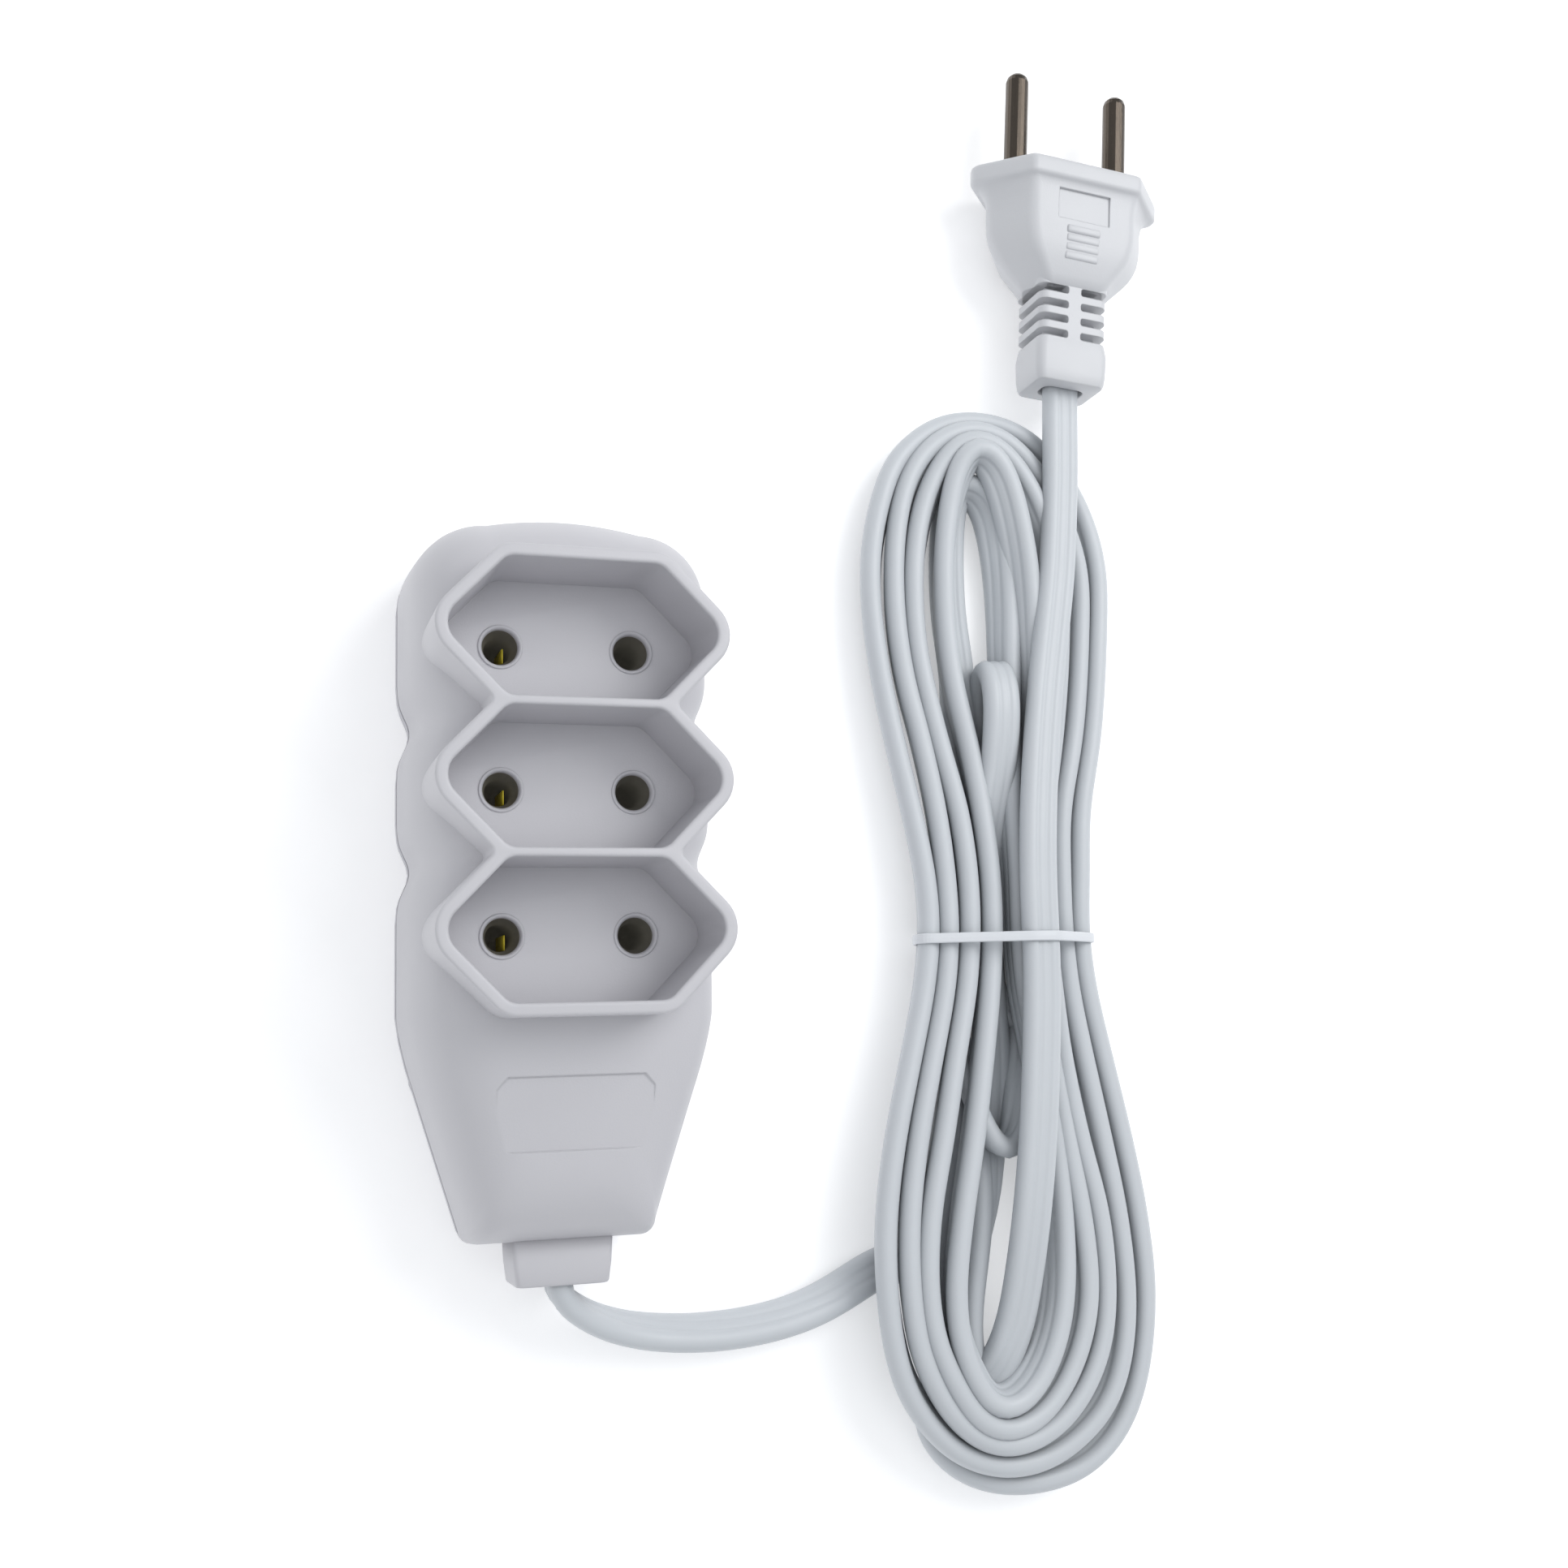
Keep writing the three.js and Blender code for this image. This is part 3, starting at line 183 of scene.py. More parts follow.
TURNS = [
    (59.7, -86, 4.1, 50), (64.2, -90.4, 3.9, 40), (70.1, -92.7, 3.9, 30), (76.6, -93.1, 4, 28), (83.8, -91.6, 4.2, 28),
    (89.9, -86.9, 4.2, 28), (93.7, -80, 4.2, 24), (96.2, -67.4, 4.2, 22), (95.6, -54.8, 4.4, 20), (93.5, -41.9, 4.6, 16),
    (90.8, -28.8, 4.8, 10), (88.5, -17.5, 5.2, 4), (87.8, -8.9, 5.4, 0), (88.5, 1.7, 5.2, 4), (89.3, 11.3, 4.8, 10),
    (92.4, 25.2, 4.3, 18), (94.6, 42.1, 4, 22), (95.2, 53.4, 3.9, 26), (93.4, 61.6, 3.7, 34), (89.8, 68.8, 3.6, 42),
    (84.9, 74.4, 3.5, 45), (79.2, 77, 3.5, 46), (73.9, 77.4, 3.5, 46), (68.4, 76.3, 3.7, 44), (63.4, 73, 3.9, 40),
    (59.4, 68.9, 4.3, 32), (56.7, 62.7, 4.5, 26), (54.9, 56, 4.5, 24), (54.2, 48, 4.4, 22), (55, 36, 4.6, 22),
    (56.9, 24, 5, 22), (59.4, 10.8, 5.7, 22), (60.9, 0.3, 6.4, 20), (60.9, -8.9, 6.9, 18), (59.3, -17.9, 7.5, 18),
    (56.4, -27.9, 8.4, 20), (52.9, -39.9, 9.4, 20), (50.8, -50.5, 9.8, 20), (50.2, -59.7, 10, 20), (51, -69.1, 9.7, 24),
    (53, -76.2, 9, 28), (57.1, -82.3, 7.8, 30), (62.1, -86.9, 7, 30), (69, -89.6, 6.6, 30), (76.1, -89.4, 6.4, 28),
    (82.2, -86.7, 6.1, 27), (87.3, -82.4, 5.9, 26), (90.3, -76.4, 5.7, 24), (92, -67, 5.4, 22), (91.4, -54.5, 5.4, 20),
    (89.3, -41.7, 5.5, 16), (86.9, -28.6, 5.6, 10), (85, -17.5, 5.9, 4), (84.4, -9, 6.2, 0), (84.7, 1.7, 5.8, 4),
    (85.4, 11.2, 5.4, 10), (88.8, 25, 4.7, 16), (91, 41.8, 4.4, 20), (91.2, 52.9, 4.7, 26), (88.8, 60.8, 4.9, 34),
    (85.4, 67.3, 5, 42), (80.7, 72.8, 5.1, 45), (76.7, 75, 5.1, 46), (73, 75.5, 5.3, 46), (69.3, 74.3, 5.3, 44),
    (65.1, 71.4, 5, 38), (61.9, 67, 4.8, 30), (60, 61.7, 4.7, 26), (58.6, 53.5, 4.6, 22), (58.3, 42.7, 4.8, 20),
    (59.5, 32.1, 5, 20), (61.3, 24.1, 5.3, 20), (63.5, 10.8, 6, 20), (64.3, 0.2, 6.5, 18), (64.1, -8.9, 7.1, 16),
    (62.7, -17.9, 7.7, 16), (59.9, -28, 8.5, 18), (56.6, -40, 9.4, 18), (54.4, -51.8, 9.9, 18), (54, -62.3, 10.2, 20),
    (55.2, -71.1, 10.1, 24), (57.4, -76.2, 9.8, 28), (60.4, -80.8, 9.2, 30), (64.2, -84.3, 8.6, 30), (68.4, -86.3, 8.2, 30),
    (73.3, -86, 8, 29), (78.4, -83.7, 7.8, 28), (83.2, -79, 7.3, 26), (86.3, -73.4, 6.9, 24), (87.8, -66.5, 6.6, 22),
    (87.5, -54.2, 6.6, 20), (84.7, -41.4, 6.6, 16), (82.5, -28.5, 6.7, 10), (81.5, -17.5, 6.9, 4), (81, -9, 7, 0),
    (81.3, 1.5, 6.8, 4), (81.9, 11, 6.4, 10), (84.6, 24.7, 5.7, 16), (86.4, 38.6, 5.6, 22), (86.7, 52.3, 6, 28),
    (84.6, 60.1, 6.4, 36), (81.1, 67, 6.8, 42), (77.1, 71.8, 6.9, 45), (74.1, 73.6, 6.9, 46), (71.8, 73.4, 6.7, 45),
    (68.7, 70.8, 6.1, 40), (65.8, 66.4, 5.5, 32), (63.4, 60.4, 5.1, 26), (61.7, 50.9, 5, 20), (61.7, 38.8, 5, 18),
    (63.2, 29.5, 5.2, 18), (64.9, 21.5, 5.5, 18), (67.3, 10.8, 6.1, 18), (68.1, 0.2, 6.7, 16), (67.7, -9, 7.2, 14),
    (66.3, -18, 7.8, 14), (63.7, -28, 8.6, 16), (60.7, -40.2, 9.5, 16), (57.7, -52, 10.1, 16), (56.8, -62.5, 10.3, 18),
    (57.9, -70.7, 10.4, 24), (59.9, -75, 10.4, 28), (62.5, -79.5, 10, 30), (65.3, -82.6, 9.7, 32), (68.2, -83.9, 9.3, 32),
    (72.2, -83.5, 8.8, 30), (76.3, -81.1, 8.4, 28), (80.5, -76.1, 7.9, 26), (83.1, -70.6, 7.7, 24), (84.4, -64.9, 7.4, 22),
    (84.1, -53.9, 7.1, 18), (82, -41.2, 7.1, 14), (80.2, -28.4, 7, 8), (79, -17.4, 7, 2), (78.7, -9, 7, 0),
    (78.9, 1.5, 6.9, 4), (79.6, 10.9, 6.6, 10), (81, 24.4, 6.3, 18), (81.3, 38.1, 6.5, 26), (80.6, 51.6, 7.1, 34),
    (79.1, 59.5, 7.9, 40), (76.7, 67.2, 8.7, 45), (74.2, 71.6, 8.9, 46), (72.8, 72.6, 8.7, 46), (70.9, 70.6, 7.9, 40),
    (69, 65.7, 7.1, 32), (67.6, 59.1, 6.3, 26), (66.7, 51, 6, 20), (66.7, 40.2, 5.7, 16), (67.8, 30.9, 5.7, 16),
    (69.5, 22.8, 5.9, 16), (71.2, 10.8, 6.4, 16), (71.9, 0.2, 6.9, 14), (71.5, -9, 7.3, 12), (70.3, -18, 7.9, 12),
    (68.4, -28.1, 8.7, 14), (65.8, -40.4, 9.6, 14), (63, -52.4, 10.2, 16), (61.3, -62.9, 10.4, 18), (61.6, -69.9, 10.6, 24),
    (62.9, -74.1, 10.6, 30), (64.8, -77.8, 10.4, 34), (66.9, -80.6, 10, 34), (69, -81, 9.7, 32), (72.3, -79.3, 9.2, 30),
    (75.8, -75.5, 8.8, 28), (78.5, -70.1, 8.3, 26), (79.9, -64.5, 8, 24), (80.6, -53.6, 7.5, 18), (79.9, -41.1, 7.2, 10),
    (78.4, -28.3, 7, 4), (76.7, -17.4, 7, 0), (76.3, -9, 7, 0), (76.5, 1.5, 6.9, 2), (76.4, 10.8, 6.4, 8),
    (76.8, 24.4, 5.5, 16), (77.7, 38.4, 4.7, 26), (78, 49.6, 4.3, 34), (77.1, 59.2, 4.4, 42), (75.4, 64.9, 4.5, 46),
    (73.1, 67.2, 4.4, 50), (71.6, 67.5, 4.1, 56), (70.5, 66.3, 3.6, 66), (69.5, 61.8, 2.9, 76), (69, 54, 2.3, 84),
    (69.1, 44.5, 2, 86),
]
INNER_RUN = [   # a fifth value marks where the strip folds over itself, broad side across the hank
    (70.2, 34.0, 1.9, 88), (69.6, 20.0, 1.9, 88), (68.6, 6.0, 1.9, 88), (66.8, -6.0, 1.8, 88), (65.6, -16.0, 1.9, 86), (66.0, -24.0, 2.8, 66), (67.2, -31.0, 4.8, 38),
    (68.7, -37.4, 6.4, 22), (70.2, -41.6, 6.9, 18), (72.2, -43.6, 7.0, 16), (74.2, -42.4, 6.9, 18), (75.8, -38.0, 6.0, 28), (77.8, -31.0, 4.0, 54), (79.6, -24.0, 2.2, 80), (80.4, -16.0, 1.85, 90),
    (80.4, -9.6, 1.8, 90), (80.6, 2.0, 1.9, 88), (79.6, 12.0, 1.9, 90), (77.0, 21.0, 1.9, 90, 0.2), (75.4, 27.0, 1.9, 90, 0.7), (74.9, 32.0, 2.7, 90, 1), (74.7, 35.2, 5.0, 90, 1), (74.6, 35.4, 7.8, 90, 1),
    (74.5, 32.6, 9.7, 90, 1), (74.4, 28.0, 9.9, 90, 1), (74.2, 22.0, 9.0, 90, 0.8), (73.8, 16.0, 7.6, 88, 0.4), (73.1, 10.0, 5.8, 88), (72.6, 4.0, 4.0, 88), (72.4, -3.0, 2.3, 90), (72.8, -12.0, 2.2, 90),
    (73.0, -22.0, 2.4, 90), (73.2, -32.0, 2.2, 90), (72.0, -39.5, 2.0, 84), (70.9, -47.0, 2.4, 64), (69.5, -54.0, 3.3, 30), (67.8, -61.0, 3.7, 10), (66.6, -67.0, 3.6, 6), (66.4, -72.5, 3.6, 14),
    (67.6, -77.6, 3.6, 24), (70.4, -80.6, 3.6, 30), (73.8, -80.2, 3.6, 28), (76.9, -76.4, 3.6, 22), (78.9, -70.4, 3.6, 14), (79.7, -63.0, 3.5, 8), (80.0, -53.0, 3.3, 14), (80.8, -44.0, 2.6, 42),
    (82.2, -35.0, 2.0, 76), (82.0, -27.0, 1.85, 88), (78.0, -20.6, 1.85, 90), (71.5, -18.6, 1.85, 90), (66.8, -21.0, 1.85, 90), (64.8, -28.0, 1.9, 90), (64.6, -38.0, 3.0, 88), (63.2, -47.0, 4.4, 88),
    (60.6, -56.0, 5.2, 88), (59.8, -64.0, 5.3, 88), (59.9, -70.5, 5.2, 88), (61.4, -76.6, 5.1, 88), (64.2, -79.6, 5.1, 88), (67.4, -78.6, 5.5, 88),
    (70.2, -74.8, 6.8, 88), (72.2, -69.0, 8.2, 90), (73.2, -62.0, 9.9, 90), (74.2, -53.0, 11.6, 90), (75.6, -41.0, 12.4, 90), (76.9, -28.0, 12.45, 90), (77.7, -17.0, 12.4, 90),
    (77.9, -9.1, 12.4, 90), (78.1, 0.0, 12.2, 90), (78.9, 10.0, 11.8, 90), (80.9, 24.0, 10.8, 90), (82.9, 35.0, 10.0, 90), (84.7, 44.0, 9.5, 90), (86.2, 52.5, 9.2, 90), (87.0, 60.0, 9.1, 90),
    (87.7, 68.0, 9.15, 90), (88.1, 76.0, 9.25, 90), (88.47, 83.0, 9.3, 90), (88.7, 85.5, 9.3, 90)]
CTRL = np.array([tuple(r) + (0.0,) * (5 - len(r)) for r in LEAD_IN + TURNS + INNER_RUN], dtype=float)


def spline(ctrl, step):
    """Centripetal Catmull-Rom through the control rows, resampled evenly."""
    P_ = np.vstack([2 * ctrl[0] - ctrl[1], ctrl, 2 * ctrl[-1] - ctrl[-2]])
    out = []
    for i in range(1, len(P_) - 2):
        p0, p1, p2, p3 = P_[i - 1:i + 3]
        t0 = 0.0
        t1 = t0 + max(np.linalg.norm(p1[:3] - p0[:3]), 1e-3) ** 0.5
        t2 = t1 + max(np.linalg.norm(p2[:3] - p1[:3]), 1e-3) ** 0.5
        t3 = t2 + max(np.linalg.norm(p3[:3] - p2[:3]), 1e-3) ** 0.5
        for t in np.linspace(t1, t2, 12, endpoint=False):
            A1 = (t1 - t) / (t1 - t0) * p0 + (t - t0) / (t1 - t0) * p1
            A2 = (t2 - t) / (t2 - t1) * p1 + (t - t1) / (t2 - t1) * p2
            A3 = (t3 - t) / (t3 - t2) * p2 + (t - t2) / (t3 - t2) * p3
            B1 = (t2 - t) / (t2 - t0) * A1 + (t - t0) / (t2 - t0) * A2
            B2 = (t3 - t) / (t3 - t1) * A2 + (t - t1) / (t3 - t1) * A3
            out.append((t2 - t) / (t2 - t1) * B1 + (t - t1) / (t2 - t1) * B2)
    out.append(ctrl[-1])
    out = np.array(out)
    s = np.concatenate([[0], np.cumsum(np.linalg.norm(np.diff(out[:, :3], axis=0), axis=1))])
    n = int(round(s[-1] / step)) + 1
    q = np.linspace(0, s[-1], n)
    return np.stack([np.interp(q, s, out[:, k]) for k in range(out.shape[1])], 1)


def smooth_rows(a, sigma_mm, step, lock=14):
    r = int(4 * sigma_mm / step)
    k = np.exp(-0.5 * (np.arange(-r, r + 1) * step / sigma_mm) ** 2)
    k /= k.sum()
    pad = np.vstack([np.repeat(a[:1], r, 0), a, np.repeat(a[-1:], r, 0)])
    b = np.stack([np.convolve(pad[:, c], k, mode="valid") for c in range(a.shape[1])], 1)
    w = np.clip(np.minimum(np.arange(len(a)), np.arange(len(a))[::-1]) / lock, 0, 1)[:, None]
    w = w * w * (3 - 2 * w)
    return a * (1 - w) + b * w


line = spline(CTRL, SPEED)
line = smooth_rows(line, 2.6, SPEED)
line = spline(line[::2] if (len(line) % 2) else np.vstack([line[::2], line[-1:]]), SPEED)
# nothing of the sheath goes below the surface that it lies on
low = 3.4 * np.abs(np.cos(np.radians(line[:, 3]))) * (1 - line[:, 4]) + 1.72 * np.abs(np.sin(np.radians(line[:, 3]))) + 0.06
free = np.arange(len(line)) > 12
for _ in range(3):
    line[free, 2] = np.maximum(line[free, 2], low[free])
    line[2:-2, 2] = (line[:-4, 2] + 2 * line[1:-3, 2] + 2 * line[2:-2, 2] + 2 * line[3:-1, 2] + line[4:, 2]) / 8
line[free, 2] = np.maximum(line[free, 2], low[free])


def flat_section(w, t, n=60):
    """Flat sheath: half-round edges, and two shallow grooves along each broad face."""
    r, flat = t / 2, (w - t) / 2
    m = (n - 26) // 2                      # steps along one broad face
    pts = [(flat + r * math.cos(a), r * math.sin(a)) for a in np.linspace(-math.pi / 2, math.pi / 2, 13)]
    for q in np.linspace(flat, -flat, m + 2)[1:-1]:
        pts.append((q, r))
    pts += [(-flat - r * math.cos(a), r * math.sin(a)) for a in np.linspace(math.pi / 2, -math.pi / 2, 13)]
    for q in np.linspace(-flat, flat, m + 2)[1:-1]:
        pts.append((q, -r))
    out = []
    for x, y in pts:
        dip = 0.15 * math.exp(-((abs(x) - 0.8) / 0.36) ** 2) + 0.05 * math.exp(-(x / 0.6) ** 2)
        out.append((x, y - math.copysign(dip, y) * (abs(y) > 0.6 * r)))
    return np.array(out)


def sweep(name, rows, sec, mat, close_ends=True):
    P = rows[:, :3]
    tilt = np.radians(rows[:, 3])
    Tn = np.gradient(P, axis=0)
    Tn /= np.linalg.norm(Tn, axis=1)[:, None]
    H = np.stack([Tn[:, 1], -Tn[:, 0], np.zeros(len(P))], 1)
    hn = np.linalg.norm(H, axis=1)[:, None]
    H = H / np.maximum(hn, 1e-6)
    Wd = np.cos(tilt)[:, None] * np.array([0, 0, 1.0]) + np.sin(tilt)[:, None] * H
    Wd -= (Wd * Tn).sum(1)[:, None] * Tn
    Wd /= np.linalg.norm(Wd, axis=1)[:, None]
    # across a fold the broad side keeps its direction, and no step turns it end for end
    f = np.clip(rows[:, 4:5], 0, 1)
    side = np.where(Wd[:, :1] < 0, -1.0, 1.0)
    Wd = np.where(f > 0, Wd * side * (1 - f) + f * np.array([1.0, 0, 0]), Wd)
    Wd -= (Wd * Tn).sum(1)[:, None] * Tn
    Wd /= np.maximum(np.linalg.norm(Wd, axis=1)[:, None], 1e-6)
    for i in range(1, len(Wd)):
        if Wd[i] @ Wd[i - 1] < 0:
            Wd[i] = -Wd[i]
    # even out the roll
    k = 3
    for _ in range(2):
        pad = np.vstack([np.repeat(Wd[:1], k, 0), Wd, np.repeat(Wd[-1:], k, 0)])
        Wd = sum(pad[i:i + len(Wd)] for i in range(2 * k + 1))
        Wd -= (Wd * Tn).sum(1)[:, None] * Tn
        Wd /= np.linalg.norm(Wd, axis=1)[:, None]
    Nd = np.cross(Tn, Wd)
    n = len(sec)
    V = (P[:, None, :] + sec[None, :, 0:1] * Wd[:, None, :] + sec[None, :, 1:2] * Nd[:, None, :]).reshape(-1, 3)
    F = []
    for i in range(len(P) - 1):
        a = i * n
        for j in range(n):
            b = (j + 1) % n
            F.append((a + j, a + b, a + n + b, a + n + j))
    verts = [tuple(v * MM) for v in V]
    if close_ends:
        F.append(tuple(range(n))[::-1])
        F.append(tuple((len(P) - 1) * n + j for j in range(n)))
    me = bpy.data.meshes.new(name)
    me.from_pydata(verts, [], F)
    me.update()
    bm = bmesh.new()
    bm.from_mesh(me)
    bmesh.ops.recalc_face_normals(bm, faces=bm.faces)
    bm.to_mesh(me)
    bm.free()
    for p in me.polygons:
        p.use_smooth = len(p.vertices) == 4
    me.materials.append(mat)
    ob = bpy.data.objects.new(name, me)
    SC.collection.objects.link(ob)
    return ob, V.reshape(len(P), n, 3)


cord, cord_v = sweep("flat_cord", line, flat_section(W, T), CORD)
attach(cord, "root")
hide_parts("cord_hank", "cord_lead_block", "cord_lead_plug")

# ------------------------------------------------------------------ tie round the waist
TIE_Y = -9.6
band = cord_v.reshape(-1, 3)
band = band[np.abs(band[:, 1] - TIE_Y) < 1.8][:, [0, 2]]
band = band[band[:, 0] > 50]


def hull2(p):
    p = sorted(map(tuple, np.unique(np.round(p, 3), axis=0)))
    def half(pp):
        h = []
        for q in pp:
            while len(h) > 1 and (h[-1][0] - h[-2][0]) * (q[1] - h[-2][1]) - (h[-1][1] - h[-2][1]) * (q[0] - h[-2][0]) <= 0:
                h.pop()
            h.append(q)
        return h[:-1]
    return np.array(half(p) + half(p[::-1]))


hl = hull2(band)
# even, rounded loop a little outside the runs
seg = np.vstack([hl, hl[:1]])
s_ = np.concatenate([[0], np.cumsum(np.linalg.norm(np.diff(seg, axis=0), axis=1))])
q_ = np.linspace(0, s_[-1], 161)[:-1]
loop = np.stack([np.interp(q_, s_, seg[:, 0]), np.interp(q_, s_, seg[:, 1])], 1)
for _ in range(3):
    loop = (np.roll(loop, 1, 0) + 2 * loop + np.roll(loop, -1, 0)) / 4
tg = np.roll(loop, -1, 0) - np.roll(loop, 1, 0)
tg /= np.linalg.norm(tg, axis=1)[:, None]
nm = np.stack([tg[:, 1], -tg[:, 0]], 1)          # outward for a counter-clockwise loop
half_w, thick, off = 0.78, 0.5, 0.12
prof = [(-half_w + 0.12, 0.0), (half_w - 0.12, 0.0), (half_w, 0.12), (half_w, thick - 0.14), (half_w - 0.14, thick), (0.0, thick + 0.03), (-half_w + 0.14, thick), (-half_w, thick - 0.14), (-half_w, 0.12)]
tv, tf = [], []
for i in range(len(loop)):
    sag = 0.0
    for dy, dn in prof:
        p = loop[i] + nm[i] * (off + dn)
        tv.append((p[0] * MM, (TIE_Y + dy + sag) * MM, max(p[1], 0.02 + dn * 0.2) * MM))
npf = len(prof)
for i in range(len(loop)):
    a, b = i * npf, ((i + 1) % len(loop)) * npf
    for j in range(npf):
        k = (j + 1) % npf
        tf.append((a + j, a + k, b + k, b + j))
me = bpy.data.meshes.new("waist_tie")
me.from_pydata(tv, [], tf)
bm = bmesh.new(); bm.from_mesh(me); bmesh.ops.recalc_face_normals(bm, faces=bm.faces); bm.to_mesh(me); bm.free()
me.materials.append(TIE)
tie = bpy.data.objects.new("waist_tie", me)
SC.collection.objects.link(tie)
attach(tie, "root")
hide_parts("cord_tie")

# ------------------------------------------------------------------ socket block: moulded front shell
BLOCK_TOP_Y, BLOCK_END_Y, BLOCK_HALF_W, WAIST_DEPTH, TOP_CORNER_R, END_HALF_W = 52.0, -52.0, 22.2, 1.8, 11.0, 13.0
TAPER_START_Y, TAPER_KNEE_Y, KNEE_HALF_W, PART_Z, FACE_Z, FACE_END_Z = -20.0, -31.0, 19.6, 6.0, 27.6, 22.6
SOCKET_Y, SOCKET_PITCH, HEX_HALF_W, HEX_HALF_H, HEX_FLAT_X, HEX_SIDE_R, HEX_CORNER_R = 11.0, 20.5, 20.0, 9.6, 10.7, 3.4, 2.6
COLLAR_WALL, RIM_Z, FLOOR_Z, FLOOR_T, PIN_SPACING, HOLE_R = 1.8, 35.4, 21.5, 1.8, 19.0, 2.55
LABEL_Y, LABEL_HALF_W, LABEL_HALF_H, LABEL_CHAMFER, LABEL_DEPTH = -33.8, 11.2, 5.1, 1.6, 0.35
CORD_Z = 10.4
SOCKETS = [SOCKET_Y + SOCKET_PITCH, SOCKET_Y, SOCKET_Y - SOCKET_PITCH]
WAISTS = [SOCKET_Y + SOCKET_PITCH / 2, SOCKET_Y - SOCKET_PITCH / 2]


def sstep(t):
    t = min(max(t, 0.0), 1.0)
    return t * t * (3 - 2 * t)


def side_x(y, inset):
    w = BLOCK_HALF_W
    for yw in WAISTS:
        w -= WAIST_DEPTH * math.exp(-((y - yw) / 3.3) ** 2)
    if y < TAPER_KNEE_Y:
        w = KNEE_HALF_W - (KNEE_HALF_W - END_HALF_W) * (TAPER_KNEE_Y - y) / (TAPER_KNEE_Y - BLOCK_END_Y)
    elif y < TAPER_START_Y:
        w -= (BLOCK_HALF_W - KNEE_HALF_W) * ((TAPER_START_Y - y) / (TAPER_START_Y - TAPER_KNEE_Y)) ** 1.4
    return w - inset


def outline(inset):
    half = []
    rc = max(TOP_CORNER_R - inset, 1.5)
    yT, w = BLOCK_TOP_Y - inset, BLOCK_HALF_W - inset
    cy = yT - rc - 1.2
    half.append((0, yT))
    for f in (0.15, 0.3, 0.46, 0.62, 0.76, 0.88):
        half.append((f * (w - rc), yT - 1.2 * f * f))
    for k in range(19):
        a = math.pi / 2 * (1 - k / 18)
        half.append((w - rc + rc * math.cos(a), cy + rc * math.sin(a)))
    y = cy
    yE = BLOCK_END_Y + inset
    stop = yE + 1.6 + 0.4 * inset
    n = 110
    for k in range(1, n + 1):
        yy = cy + (stop - cy) * k / n
        half.append((side_x(yy, inset), yy))
    last = half[-1]
    re = 1.6 + 0.4 * inset
    for k in range(1, 5):
        a = math.pi / 2 * k / 4
        half.append((last[0] - re * (1 - math.cos(a)), last[1] - re * math.sin(a)))
    for f in (0.75, 0.5, 0.25, 0.0):
        half.append((half[-1][0] * f if f else 0.0, yE))
    pts = list(half)
    for x, yy in half[-2:0:-1]:
        pts.append((-x, yy))
    return pts


def drop_at(y):
    k = sstep((-12 - y) / 42)
    return 1 - (1 - (FACE_END_Z - PART_Z) / (FACE_Z - PART_Z)) * k


def ring3(inset, z):
    return [(x, y, z if z <= PART_Z else PART_Z + (z - PART_Z) * drop_at(y)) for x, y in outline(inset)]


def mesh_object(name, verts, faces, mats, smooth=True, merge=0.0):
    me = bpy.data.meshes.new(name)
    me.from_pydata([tuple(c * MM for c in v) for v in verts], [], faces)
    bm = bmesh.new()
    bm.from_mesh(me)
    if merge:
        bmesh.ops.remove_doubles(bm, verts=bm.verts, dist=merge * MM)
    bmesh.ops.recalc_face_normals(bm, faces=bm.faces)
    bm.to_mesh(me)
    bm.free()
    for m in mats:
        me.materials.append(m)
    for p in me.polygons:
        p.use_smooth = smooth
    ob = bpy.data.objects.new(name, me)
    SC.collection.objects.link(ob)
    return ob


def loft(name, rings, mats, cap=True, closed=True):
    n = len(rings[0])
    verts = [v for r in rings for v in r]
    faces = []
    for k in range(len(rings) - 1):
        for i in range(n if closed else n - 1):
            a, b = k * n + i, k * n + (i + 1) % n
            faces.append((a, b, b + n, a + n))
    if cap:
        faces.append(tuple(range(n))[::-1])
        faces.append(tuple((len(rings) - 1) * n + i for i in range(n)))
    return mesh_object(name, verts, faces, mats)


def rounded(corners, steps=8):
    out = []
    n = len(corners)
    for i, (x, y, r) in enumerate(corners):
        p = Vector((x, y))
        if not r:
            out.append((x, y))
            continue
        a = (Vector(corners[i - 1][:2]) - p).normalized()
        b = (Vector(corners[(i + 1) % n][:2]) - p).normalized()
        half = math.acos(max(-1, min(1, a.dot(b)))) / 2
        d = r / math.tan(half)
        c = p + (a + b).normalized() * (r / math.sin(half))
        s, e = p + a * d, p + b * d
        a0 = math.atan2(s.y - c.y, s.x - c.x)
        da = math.atan2(e.y - c.y, e.x - c.x) - a0
        while da > math.pi:
            da -= 2 * math.pi
        while da < -math.pi:
            da += 2 * math.pi
        for k in range(steps + 1):
            t = a0 + da * k / steps
            out.append((c.x + r * math.cos(t), c.y + r * math.sin(t)))
    return out


S_ = math.hypot(HEX_HALF_W - HEX_FLAT_X, HEX_HALF_H)
NX, NY = HEX_HALF_H / S_, (HEX_HALF_W - HEX_FLAT_X) / S_


def hexagon(y, d, steps=10):
    w, h = HEX_HALF_W + d / NX, HEX_HALF_H + d
    flat = HEX_FLAT_X + d * (1 - NY) / NX
    rs, rc = HEX_SIDE_R + d, HEX_CORNER_R + d
    return rounded([(w, y, rs), (flat, y + h, rc), (-flat, y + h, rc), (-w, y, rs), (-flat, y - h, rc), (flat, y - h, rc)], steps)


